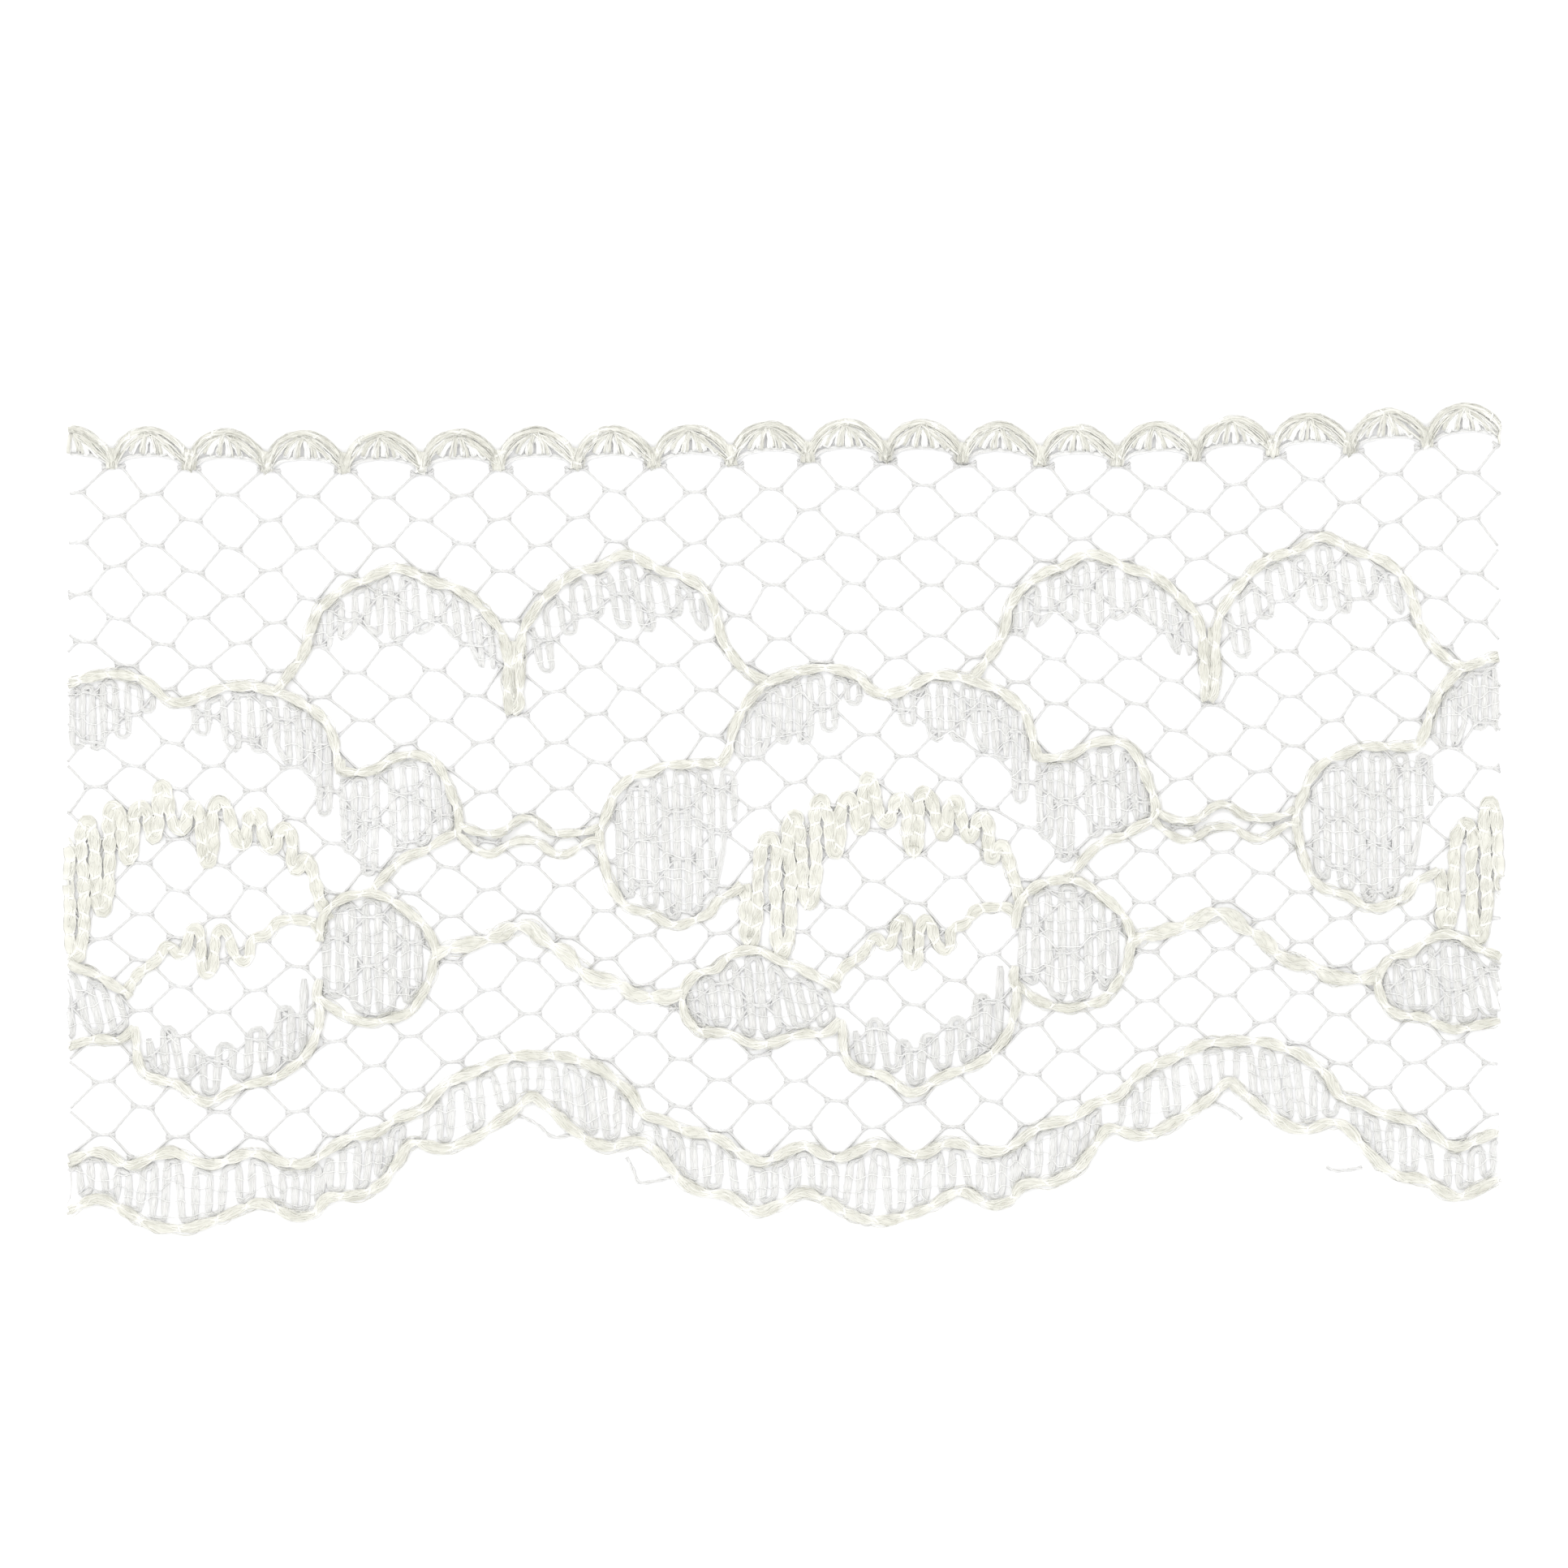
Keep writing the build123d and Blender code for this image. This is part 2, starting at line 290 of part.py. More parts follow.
def side(points, half):
    """the edge of a yarn, half its width to the left of its middle line, bevelled outside a sharp turn"""
    ways = [unit(a, b) for a, b in zip(points, points[1:])]
    edge = [offset(points[0], ways[0], half)]
    for p, u, v in zip(points[1:-1], ways, ways[1:]):
        straight = u[0] * v[0] + u[1] * v[1]
        if straight < SHARP and u[0] * v[1] < u[1] * v[0]:
            edge += [offset(p, u, half, BEVEL * half), offset(p, v, half, -BEVEL * half)]
        else:
            edge.append(offset(p, (u[0] + v[0], u[1] + v[1]), half / max(1 + straight, LEAST_SPREAD)))
    return edge + [offset(points[-1], ways[-1], half)]


def crossing(a, b, c, d):
    """where the stretch from a to b crosses the one from c to d, or None"""
    ux, uy = b[0] - a[0], b[1] - a[1]
    vx, vy = d[0] - c[0], d[1] - c[1]
    turn = ux * vy - uy * vx
    if abs(turn) < 1e-9:
        return None
    t = ((c[0] - a[0]) * vy - (c[1] - a[1]) * vx) / turn
    s = ((c[0] - a[0]) * uy - (c[1] - a[1]) * ux) / turn
    if 0 <= t <= 1 and 0 <= s <= 1:
        return a[0] + t * ux, a[1] + t * uy
    return None


def untangle(outline):
    """cuts off the small loops where an outline runs over itself on the inside of a turn"""
    i = 0
    while i < len(outline) - 1:
        for j in range(min(i + LOOP_REACH, len(outline) - 2), i + 1, -1):
            meeting = crossing(outline[i], outline[i + 1], outline[j], outline[j + 1])
            if meeting:
                outline = outline[:i + 1] + [meeting] + outline[j + 1:]
                break
        i += 1
    return [p for p, q in zip(outline, outline[1:] + outline[:1]) if math.dist(p, q) > SAME_POINT]


def yarn(points, width, bottom, top):
    """a flat yarn along a line of points, trimmed at the two cut ends"""
    route = to_frame(points)
    solid = prism(untangle(side(route, width / 2) + side(route[::-1], width / 2)), bottom, top)
    box = solid.bounding_box()
    if box.min.X < -LENGTH / 2 or box.max.X > LENGTH / 2:
        strip = Box(LENGTH, 2 * HIGHEST, 4 * CORD_TOP)
        return list((solid & strip).solids())
    return [solid]


def zigzag(passes):
    """the route of a filling yarn that goes down one pass and up the next"""
    route = []
    for i, (xt, yt, xb, yb) in enumerate(passes):
        ends = [(xt, yt), (xb, yb)]
        route += ends if i % 2 == 0 else ends[::-1]
    return route


def in_sight(points):
    """whether any of the route lies between the cut ends"""
    return any(SIGHT_MARGIN < x < LENGTH - SIGHT_MARGIN for x, y in points)


def net_point(x, y):
    """where a point of the unstretched net lies"""
    x += LEAN * smooth((LINK_Y - y) / LEAN_DEPTH)
    t = smooth((y - BLEND_FROM) / (BLEND_TO - BLEND_FROM))
    return x, y + (1 - t) * station(RISE, x) + t * station(HEADING_RISE, x)


def clean(points):
    """a mesh's corners without the ones that fall on the corner before, and the area they enclose"""
    kept = [p for p, q in zip(points, points[-1:] + points[:-1]) if math.dist(p, q) > SAME_CORNER]
    area = sum(a[0] * b[1] - b[0] * a[1] for a, b in zip(kept, kept[1:] + kept[:1])) / 2
    return kept, abs(area)


def ground_net(hem_line):
    """the net as one plate with an opening in each mesh"""
    stations = [i * LENGTH / NET_EDGE_STEPS for i in range(NET_EDGE_STEPS + 1)]
    top_edge = [(x, NET_TOP_EDGE + station(HEADING_RISE, x)) for x in stations]
    low_edge = [(0, line_at(hem_line, 0))] + [p for p in hem_line if SAME_CORNER < p[0] < LENGTH - SAME_CORNER]
    low_edge.append((LENGTH, line_at(hem_line, LENGTH)))
    outer = Wire.make_polygon([(x, y, 0) for x, y in to_frame(low_edge + top_edge[::-1])], close=True)
    holes = []
    wide = COLUMN - LINK_HALF - SLANT_CLEAR
    for column in NET_COLUMNS:
        for row in NET_ROWS:
            x = FIRST_LINK_X + column * COLUMN
            y = LINK_Y - (row + column % 2 / 2) * ROW
            mesh = [(x - LINK_HALF, y + LINK_HALF_W), (x + LINK_HALF, y + LINK_HALF_W), (x + wide, y + ROW / 2),
                    (x + LINK_HALF, y + ROW - LINK_HALF_W), (x - LINK_HALF, y + ROW - LINK_HALF_W),
                    (x - wide, y + ROW / 2)]
            hole = []
            for px, py in (net_point(*p) for p in mesh):
                px = min(max(px, NET_MARGIN), LENGTH - NET_MARGIN)
                high = NET_TOP_EDGE + station(HEADING_RISE, px) - NET_MARGIN
                hole.append((px, min(max(py, line_at(hem_line, px) + NET_MARGIN), high)))
            hole, area = clean(hole)
            if len(hole) > 2 and area > LEAST_MESH:
                holes.append(Wire.make_polygon([(u, v, 0) for u, v in to_frame(hole)], close=True))
    return [Solid.extrude(Face(outer, holes), Vector(0, 0, NET_TOP))]


def heading():
    """the scalloped heading: its cord, and the yarn of the fan stitches under it"""
    cord = []
    fans = []
    for k in SCALLOPS:
        tip = FIRST_TIP + k * SCALLOP
        cord += [(tip + x, y + station(HEADING_RISE, tip + x)) for x, y in SCALLOP_CORD]
        fans += [(tip + x, y + station(HEADING_RISE, tip + x)) for x, y in zigzag(SCALLOP_RIBS) + [VALLEY]]
    return yarn(cord, HEADING_CORD_W, RIB_TOP, CORD_TOP), yarn(fans, SCALLOP_RIB_W, NET_TOP, RIB_TOP)


def hem():
    """the hem band over the whole length: upper cord, lower cord and the passes between them"""
    upper = []
    lower = []
    passes = []
    for repeat in REPEATS:
        upper += lay(HEM_UPPER, repeat)
        lower += lay(HEM_LOWER, repeat)
        passes += lay(zigzag(HEM_RIBS), repeat)
    return upper, lower, passes


CORDS = {
    "cloud_cord": (CLOUD_CORD, CORD_W),
    "arch_cord_left": (ARCH_CORD_LEFT, CORD_W),
    "arch_cord_right": (ARCH_CORD_RIGHT, CORD_W),
    "small_petal_cord": (SMALL_PETAL_CORD, LEAF_CORD_W),
    "large_petal_cord": (LARGE_PETAL_CORD, LEAF_CORD_W),
    "round_leaf_cord": (ROUND_LEAF_CORD, LEAF_CORD_W),
    "left_leaf_cord": (LEFT_LEAF_CORD, LEAF_CORD_W),
    "crescent_cord": (CRESCENT_CORD, LEAF_CORD_W),
    "wave_stem": (WAVE_STEM, STEM_W),
    "loop_stem_upper": (LOOP_STEM_UPPER, LOOP_W),
    "loop_stem_lower": (LOOP_STEM_LOWER, LOOP_W),
}
FILLINGS = {
    "arch_ribs_left": [zigzag(ARCH_RIBS_LEFT)],
    "arch_ribs_right": [zigzag(ARCH_RIBS_RIGHT)],
    "cloud_ribs": [zigzag(CLOUD_RIBS_LEFT), zigzag(CLOUD_RIBS_RIGHT)],
    "small_petal_ribs": [zigzag(SMALL_PETAL_RIBS)],
    "large_petal_ribs": [zigzag(LARGE_PETAL_RIBS)],
    "round_leaf_ribs": [zigzag(ROUND_LEAF_RIBS)],
    "left_leaf_ribs": [zigzag(LEFT_LEAF_RIBS)],
    "crescent_ribs": [zigzag(CRESCENT_RIBS)],
    "ring_yarn": [RING_YARN],
    "sprig_yarn": [SPRIG_YARN],
}

nodes = {}
for repeat in REPEATS:
    for name, (points, width) in CORDS.items():
        route = lay(points, repeat)
        if in_sight(route):
            nodes[f"{name}_{repeat + 2}"] = yarn(route, width, RIB_TOP, CORD_TOP)
    for name, routes in FILLINGS.items():
        laid = [lay(points, repeat) for points in routes]
        laid = [route for route in laid if in_sight(route)]
        if laid:
            nodes[f"{name}_{repeat + 2}"] = [s for route in laid for s in yarn(route, RIB_W, NET_TOP, RIB_TOP)]

upper, lower, passes = hem()
nodes["hem_cord_upper"] = yarn(upper, HEM_CORD_W, RIB_TOP, CORD_TOP)
nodes["hem_cord_lower"] = yarn(lower, HEM_CORD_W, RIB_TOP, CORD_TOP)
nodes["hem_ribs"] = yarn(passes, HEM_RIB_W, 0, RIB_TOP)
nodes["heading_cord"], nodes["heading_ribs"] = heading()
nodes["ground_net"] = ground_net(upper)
for i, points in enumerate(CUT_THREADS):
    nodes[f"cut_thread_{i + 1}"] = yarn(points, THREAD_W, 0, NET_TOP)

os.makedirs("parts", exist_ok=True)
for name, solids in nodes.items():
    export_step(Compound(solids) if len(solids) > 1 else solids[0], f"parts/{name}.step")
print(len(nodes), "nodes")
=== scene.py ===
import math
import random

import bpy
import numpy as np
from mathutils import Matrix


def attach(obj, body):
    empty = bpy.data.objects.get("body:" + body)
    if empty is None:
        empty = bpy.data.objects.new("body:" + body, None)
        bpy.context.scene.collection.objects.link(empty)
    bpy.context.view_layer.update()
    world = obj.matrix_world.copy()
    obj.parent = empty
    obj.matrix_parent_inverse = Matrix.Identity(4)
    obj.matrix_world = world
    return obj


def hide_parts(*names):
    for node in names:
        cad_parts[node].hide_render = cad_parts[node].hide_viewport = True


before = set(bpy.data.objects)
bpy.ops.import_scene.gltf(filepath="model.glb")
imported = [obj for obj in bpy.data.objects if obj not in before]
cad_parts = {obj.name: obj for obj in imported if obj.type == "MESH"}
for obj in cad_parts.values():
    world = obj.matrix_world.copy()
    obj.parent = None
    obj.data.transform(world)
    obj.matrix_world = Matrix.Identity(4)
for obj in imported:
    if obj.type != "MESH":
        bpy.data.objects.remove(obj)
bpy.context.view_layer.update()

# ---------------------------------------------------------------------------------------------
# A cut length of knitted lace edging, every yarn built as its own bundle of fine strands.
# Points are in millimetres, x from the left cut end and y from the hem, as in the CAD model.
# ---------------------------------------------------------------------------------------------

MM = 0.001
TINY = 1e-6
CORNER_POINTS = 7  # points that round each corner of a run
LENGTH = 88.4
LOWEST = -0.13
HIGHEST = 51.10
REPEAT = 42.87
REPEATS = (-1, 0, 1)
LEFT_SLIP = 0.65  # the left repeat lies this much further left, up to SLIP_SPAN
SLIP_SPAN = (51.0, 57.5)

# how far the lace and its heading rise along the length; one gives way to the other between two heights
RISE = [(0, 0), (18, -0.3), (34, 0), (50, 0.42), (66, 0.6), (80, 1.15), (LENGTH, 1.15)]
HEADING_RISE = [(0, 0), (18, -0.3), (34, 0), (50, 0.45), (63, 0.1), (76, 0.8), (LENGTH, 1.5)]
BLEND_FROM = 36.0
BLEND_TO = 44.0
SIGHT_MARGIN = 0.6
CUT_FRAY = 0.22  # strands end up to this far short of the cut ends

# ground net: columns of short twisted links, and slanted threads from link to link
NET_COLUMNS = range(-2, 38)
NET_ROWS = range(-1, 16)
COLUMN = REPEAT / 18
ROW = 3.03
LINK_HALF = 0.65
LINK_Y = 45.5
FIRST_LINK_X = 0.5
LEAN = 1.7
LEAN_DEPTH = 24.0
NET_TOP_LINE = 47.35
NET_MARGIN = 0.05
NET_STEP = 0.24
UNEVEN_X = 0.15
UNEVEN_Y = 0.16
UNEVEN_TILT = 0.1
THREAD = 0.158
NET_SIDES = 4
TWIST_AT = (-0.06, 0.25, 0.5, 0.75, 1.06)
TWIST_ASIDE = (1, -1, 1, -1, 1)
TWIST_UP = (1, 0, -1, 0, 1)
TWIST_WIDTH = 0.085
TWIST_HEIGHT = 0.04
TWIST_CORNER = 0.25
SLANT_OVERLAP = 0.34
SLANT_BEND = 0.12
SLANT_RISE = 0.08
SLANT_CORNER = 0.32
# painted light: the twisted links are painted lighter than the slanted threads to offset the shade where
# their two threads overlap
LINK_TONE = 0.5
SLANT_TONE = 0.05
TONE_SPREAD = 0.4
NET_Z = 0.12

# ground threads that run on across the passes of a filling
CROSS_FROM = 0.4
CROSS_TO = 50
CROSS_GAP = ROW / 4
CROSS_INSIDE = 0.1
CROSS_MARGIN = 0.3
CROSS_BREAK = 1.3
CROSS_UNEVEN = 0.36
CROSS_Z = 0.22
CROSS_DIP_Z = 0.15
CROSS_DIP_UNEVEN = 0.3
CROSS_END = 0.3
CROSS_END_UNEVEN = 0.2
CROSS_END_Z = 0.2
CROSS_RADIUS = 0.032
CROSS_CORNER = 0.2
CROSS_STEP = 0.16
CROSS_TONES = (1.2, 1.8)

# heading scallops, x from the tip of the scallop
SCALLOPS = range(-1, 20)
SCALLOP = REPEAT / 9
FIRST_TIP = 0.45
SCALLOP_CORD = [
    (-2.4, 46.95), (-2.3, 47.7), (-2.05, 48.35), (-1.6, 48.95), (-0.95, 49.3), (-0.2, 49.5), (0.45, 49.4),
    (1.05, 49.1), (1.6, 48.7), (2.05, 48.2), (2.3, 47.6), (2.38, 46.95),
]
SCALLOP_SWEEPS = [
    [(-0.3, 49.35), (0.6, 49.0), (1.4, 48.45), (2.15, 47.6)],
    [(-0.2, 49.25), (0.5, 48.75), (1.3, 48.15), (2.2, 47.4)],
    [(-0.1, 49.3), (-1.0, 48.95), (-1.7, 48.3), (-2.2, 47.4)],
    [(-0.2, 49.3), (-0.45, 48.7), (-0.6, 48.0)],
    [(0.0, 49.3), (0.25, 48.6), (0.35, 48.0)],
]
SCALLOP_FAN = [
    [(-0.5, 49.25), (-1.3, 48.75), (-1.9, 48.0)],
    [(-0.4, 49.2), (-0.95, 48.6), (-1.25, 47.95)],
    [(-0.25, 49.2), (-0.5, 48.6), (-0.6, 47.95)],
    [(-0.05, 49.2), (0.1, 48.6), (0.1, 47.95)],
    [(0.1, 49.15), (0.6, 48.5), (0.85, 47.9)],
    [(0.3, 49.05), (1.15, 48.3), (1.6, 47.8)],
]
SCALLOP_KNOT = [(2.45, 48.3), (2.38, 47.8), (2.35, 47.4), (2.36, 47.05)]
SCALLOP_DARK = [
    [(-0.5, 49.2), (-1.05, 48.7), (-1.35, 48.05)],
    [(-0.25, 49.2), (-0.35, 48.6), (-0.4, 47.95)],
    [(0.05, 49.2), (0.45, 48.55), (0.6, 47.95)],
    [(0.35, 49.1), (1.1, 48.4), (1.45, 47.9)],
]
SCALLOP_FLOOR = [(-2.3, 47.2), (-1.5, 47.8), (-0.4, 47.95), (0.6, 47.95), (1.6, 47.75), (2.4, 47.2)]

# outline cords and stems of one repeat
ARCH_CORD_LEFT = [
    (13.5, 34.05), (14.1, 34.85), (14.65, 35.6), (14.95, 36.5), (15.15, 37.5), (15.5, 38.3),
    (16.2, 38.95), (17.0, 39.5), (17.7, 39.95), (18.5, 40.1), (19.2, 40.6), (20.1, 40.95), (21.1, 40.75),
    (21.9, 40.3), (22.7, 39.95), (23.6, 39.85), (24.6, 39.35), (25.4, 38.6), (26.1, 37.9), (26.75, 37.1),
    (27.1, 36.2), (27.18, 35.2), (27.18, 34.2), (27.18, 33.2), (27.25, 32.3),
]
ARCH_CORD_RIGHT = [
    (27.9, 32.4), (27.93, 33.3), (27.93, 34.3), (27.93, 35.3), (27.97, 36.3), (28.2, 37.2), (28.75, 38.2),
    (29.4, 39.0), (30.1, 39.75), (30.9, 40.35), (31.8, 40.75), (32.6, 40.8), (33.3, 41.2), (34.0, 41.7),
    (34.7, 41.75), (35.4, 41.4), (36.2, 40.9), (37.1, 40.6), (37.9, 40.45), (38.7, 40.0), (39.4, 39.4),
    (39.9, 38.5), (40.15, 37.6), (40.3, 36.7), (40.75, 35.8), (41.4, 35.0), (42.1, 34.45),
]
CLOUD_CORD = [
    (40.7, 29.45), (40.85, 29.9), (41.0, 30.6), (41.3, 31.5), (41.75, 32.4), (42.4, 33.2), (43.0, 33.75),
    (43.9, 34.15), (44.7, 34.45), (45.5, 34.65), (46.4, 34.75), (47.3, 34.7), (48.2, 34.5), (48.9, 34.1),
    (49.4, 33.5), (50.1, 33.1), (50.9, 33.15), (51.7, 33.4), (52.5, 33.95), (53.4, 34.25), (54.4, 34.3),
    (55.4, 34.1), (56.4, 33.8), (57.3, 33.4), (58.1, 32.95), (58.8, 32.4), (59.2, 31.6), (59.4, 30.8),
    (59.6, 29.95),
]
SMALL_PETAL_CORD = [
    (16.95, 28.35), (17.7, 28.35), (18.5, 28.35), (19.2, 28.55), (19.9, 29.1), (20.8, 29.4), (21.8, 29.4),
    (22.6, 29.1), (23.1, 28.5), (23.45, 27.7), (23.75, 26.9), (24.05, 26.1), (24.25, 25.3), (24.1, 24.6),
    (23.5, 24.3), (22.8, 24.0), (22.2, 23.5), (21.4, 23.35), (20.7, 23.0), (20.1, 22.4), (19.5, 21.8),
    (19.0, 21.25),
]
LARGE_PETAL_CORD = [
    (40.3, 28.9), (39.5, 28.85), (38.6, 28.85), (37.8, 28.8), (37.0, 28.8), (36.4, 28.6), (35.8, 28.25),
    (35.1, 28.15), (34.5, 27.8), (33.95, 27.3), (33.6, 26.6), (33.3, 25.8), (32.95, 25.1), (32.8, 24.4),
    (32.95, 23.5), (33.15, 22.7), (33.4, 21.8), (33.7, 20.95), (34.2, 20.3), (34.8, 19.9), (35.5, 19.75),
    (36.1, 19.6), (36.7, 19.15), (37.3, 18.9), (37.9, 18.85), (38.5, 19.1), (39.1, 19.4), (39.7, 19.65),
    (40.0, 20.3), (40.5, 20.75), (41.1, 20.95),
]
LOOP_STEM_UPPER = [
    (24.85, 24.75), (25.5, 24.55), (26.2, 24.5), (26.9, 24.65), (27.4, 25.1), (27.9, 25.45),
    (28.4, 25.55), (28.9, 25.35), (29.4, 24.9), (29.9, 24.6), (30.6, 24.5), (31.3, 24.55), (32.1, 24.65),
]
LOOP_STEM_LOWER = [
    (24.8, 23.9), (25.4, 23.45), (26.1, 23.25), (26.7, 23.5), (27.2, 23.9), (27.8, 24.1), (28.5, 24.15),
    (29.1, 24.05), (29.6, 23.6), (30.2, 23.25), (30.9, 23.25), (31.4, 23.6), (31.9, 23.9),
]
WAVE_STEM = [
    (23.35, 17.35), (23.8, 17.45), (24.4, 17.6), (25.2, 17.85), (26.0, 18.05), (26.8, 18.3),
    (27.4, 18.75), (28.1, 18.9), (28.7, 18.7), (29.2, 18.2), (29.8, 17.7), (30.5, 17.35), (31.1, 16.8),
    (31.6, 16.2), (32.3, 15.7), (33.0, 15.5), (33.7, 15.45), (34.3, 15.1), (34.9, 14.65), (35.6, 14.5),
    (36.4, 14.45), (37.2, 14.45),
]
ROUND_LEAF_CORD = [
    (15.6, 18.8), (15.85, 19.6), (16.4, 20.2), (17.2, 20.65), (18.1, 20.85), (19.0, 20.85), (19.8, 20.6),
    (20.6, 20.1), (21.4, 19.5), (22.0, 18.9), (22.5, 18.2), (22.75, 17.4), (22.65, 16.5), (22.45, 15.7),
    (22.1, 14.9), (21.6, 14.1), (21.0, 13.4), (20.2, 13.2), (19.5, 13.05), (18.9, 12.85), (18.1, 13.0),
    (17.3, 13.25), (16.6, 13.7),
]
LEFT_LEAF_CORD = [
    (47.2, 15.2), (46.7, 15.45), (46.0, 15.85), (45.2, 16.25), (44.5, 16.5), (43.9, 16.7), (43.3, 17.1),
    (42.6, 17.4), (41.8, 17.4), (41.1, 17.15), (40.5, 16.7), (40.0, 16.2), (39.4, 16.1), (38.8, 15.9),
    (38.3, 15.4), (37.95, 14.75), (37.9, 14.0), (38.15, 13.2), (38.6, 12.6), (39.2, 12.3), (39.9, 12.3),
    (40.7, 12.3), (41.4, 11.95), (42.1, 11.6), (42.8, 11.5), (43.6, 11.7), (44.4, 11.95), (45.1, 12.2),
    (45.8, 12.25), (46.5, 12.15), (47.1, 12.4), (47.5, 12.8),
]
CRESCENT_CORD = [
    (47.8, 12.35), (47.85, 11.6), (47.95, 10.9), (48.3, 10.25), (48.9, 9.95), (49.6, 9.8), (50.3, 9.65),
    (50.9, 9.25), (51.5, 8.8), (52.05, 8.5), (52.7, 8.75), (53.3, 9.2), (54.0, 9.6), (54.8, 9.9),
    (55.6, 10.1), (56.3, 10.5), (57.0, 11.0), (57.6, 11.6), (58.05, 12.4), (58.35, 13.2), (58.5, 14.0),
    (58.5, 14.8), (58.3, 15.6),
]

# the rose's thick finger yarn and the sprig inside it
RING_YARN = [
    (41.85, 20.5), (41.85, 19.6), (41.8, 18.6), (41.85, 17.95), (42.1, 17.75), (42.35, 18.0),
    (42.5, 19.0), (42.6, 20.3), (42.6, 21.6), (42.65, 22.8), (42.85, 23.8), (43.2, 24.35), (43.55, 24.3),
    (43.8, 23.7), (43.7, 22.6), (43.6, 21.5), (43.75, 20.4), (43.7, 19.3), (43.75, 18.1), (43.9, 17.3),
    (44.1, 17.05), (44.35, 17.4), (44.55, 18.3), (44.65, 19.5), (44.6, 20.8), (44.6, 22.1), (44.5, 23.3),
    (44.4, 24.5), (44.5, 25.35), (44.8, 25.7), (45.1, 25.35), (45.25, 24.3), (45.3, 23.1), (45.35, 21.9),
    (45.4, 20.8), (45.55, 20.2), (45.75, 20.05), (46.0, 20.5), (46.15, 21.6), (46.2, 22.8), (46.15, 24.0),
    (46.1, 25.2), (46.15, 26.3), (46.45, 26.75), (46.8, 26.4), (46.92, 25.5), (47.0, 24.5), (47.15, 23.6),
    (47.35, 23.2), (47.6, 23.6), (47.7, 24.6), (47.65, 25.7), (47.75, 26.5), (48.1, 26.85), (48.45, 26.5),
    (48.6, 25.8), (48.65, 25.0), (48.9, 24.6), (49.15, 25.0), (49.2, 26.0), (49.1, 27.1), (49.2, 27.8),
    (49.45, 28.1), (49.7, 27.7), (49.8, 26.9), (49.95, 26.0), (50.25, 25.35), (50.6, 25.15),
    (50.85, 25.6), (51.0, 26.5), (51.35, 26.95), (51.7, 26.5), (51.8, 25.4), (51.85, 24.3), (51.95, 23.5),
    (52.15, 23.2), (52.4, 23.6), (52.5, 24.7), (52.45, 25.8), (52.5, 26.8), (52.85, 27.25), (53.2, 26.9),
    (53.45, 26.1), (53.65, 25.2), (53.8, 24.6), (54.05, 24.35), (54.3, 24.7), (54.3, 25.5), (54.4, 26.3),
    (54.7, 26.65), (55.0, 26.3), (55.15, 25.5), (55.3, 24.7), (55.6, 24.2), (55.9, 24.5), (56.05, 25.3),
    (56.4, 25.75), (56.75, 25.4), (56.8, 24.5), (56.75, 23.5), (56.95, 22.9), (57.2, 23.15), (57.4, 23.8),
    (57.75, 23.8), (58.05, 22.9), (58.3, 22.0), (58.5, 21.2), (58.7, 20.6),
]
SPRIG_YARN = [
    (47.55, 15.75), (47.85, 16.3), (48.3, 16.7), (48.9, 17.0), (49.3, 17.4), (49.55, 18.0), (49.85, 18.2),
    (50.15, 17.85), (50.5, 17.45), (50.8, 17.7), (50.95, 18.5), (51.2, 19.15), (51.55, 19.35),
    (51.8, 18.9), (51.8, 17.8), (51.85, 16.7), (52.1, 16.3), (52.45, 16.7), (52.55, 17.8), (52.6, 18.9),
    (52.95, 19.4), (53.3, 19.0), (53.5, 18.1), (53.8, 17.45), (54.15, 17.25), (54.45, 17.6),
    (54.45, 18.4), (54.75, 18.8), (55.3, 18.9), (55.65, 19.35), (56.0, 19.85), (56.6, 20.05),
    (57.3, 20.0), (58.0, 20.0), (58.3, 19.7),
]

# the filling yarn's passes in each motif: x and y at the top, then x and y at the bottom
ARCH_RIBS_LEFT = [
    (15.6, 37.8, 15.6, 36.0), (16.25, 38.4, 16.2, 35.9), (16.95, 39.0, 16.85, 36.4),
    (17.75, 39.4, 17.8, 37.3), (18.55, 39.7, 18.5, 37.3), (19.25, 40.0, 19.35, 36.7),
    (19.95, 40.4, 20.05, 36.5), (20.65, 40.4, 20.85, 36.5), (21.45, 40.1, 21.6, 36.8),
    (22.3, 39.7, 22.55, 37.3), (23.1, 39.4, 23.3, 37.3), (23.85, 39.2, 24.2, 36.4),
    (24.6, 38.8, 24.9, 36.2), (25.3, 38.1, 25.65, 34.6), (26.05, 37.3, 26.3, 34.7),
]
ARCH_RIBS_RIGHT = [
    (28.75, 37.2, 29.25, 34.6), (29.5, 38.3, 29.95, 34.5), (30.3, 39.1, 30.65, 36.9),
    (31.1, 39.8, 31.4, 36.9), (31.9, 40.2, 32.25, 38.0), (32.7, 40.3, 33.0, 37.9),
    (33.45, 40.6, 33.95, 37.4), (34.15, 41.1, 34.7, 37.2), (34.85, 41.1, 35.45, 37.2),
    (35.75, 40.5, 36.2, 37.0), (36.7, 40.1, 37.1, 38.0), (37.6, 40.0, 37.85, 38.0),
    (38.35, 39.6, 38.7, 37.7), (39.05, 39.0, 39.45, 37.0),
]
CLOUD_RIBS_LEFT = [
    (41.35, 30.9, 41.3, 29.5), (42.0, 31.9, 41.95, 28.9), (42.65, 32.8, 42.6, 28.9),
    (43.25, 33.3, 43.25, 30.4), (43.9, 33.5, 43.85, 30.2), (44.5, 33.8, 44.5, 30.1),
    (45.1, 34.0, 45.15, 30.0), (45.75, 34.2, 45.85, 30.4), (46.5, 34.3, 46.6, 30.9),
    (47.25, 34.2, 47.35, 30.9), (48.05, 34.0, 48.1, 32.6), (48.8, 33.6, 48.85, 32.5),
]
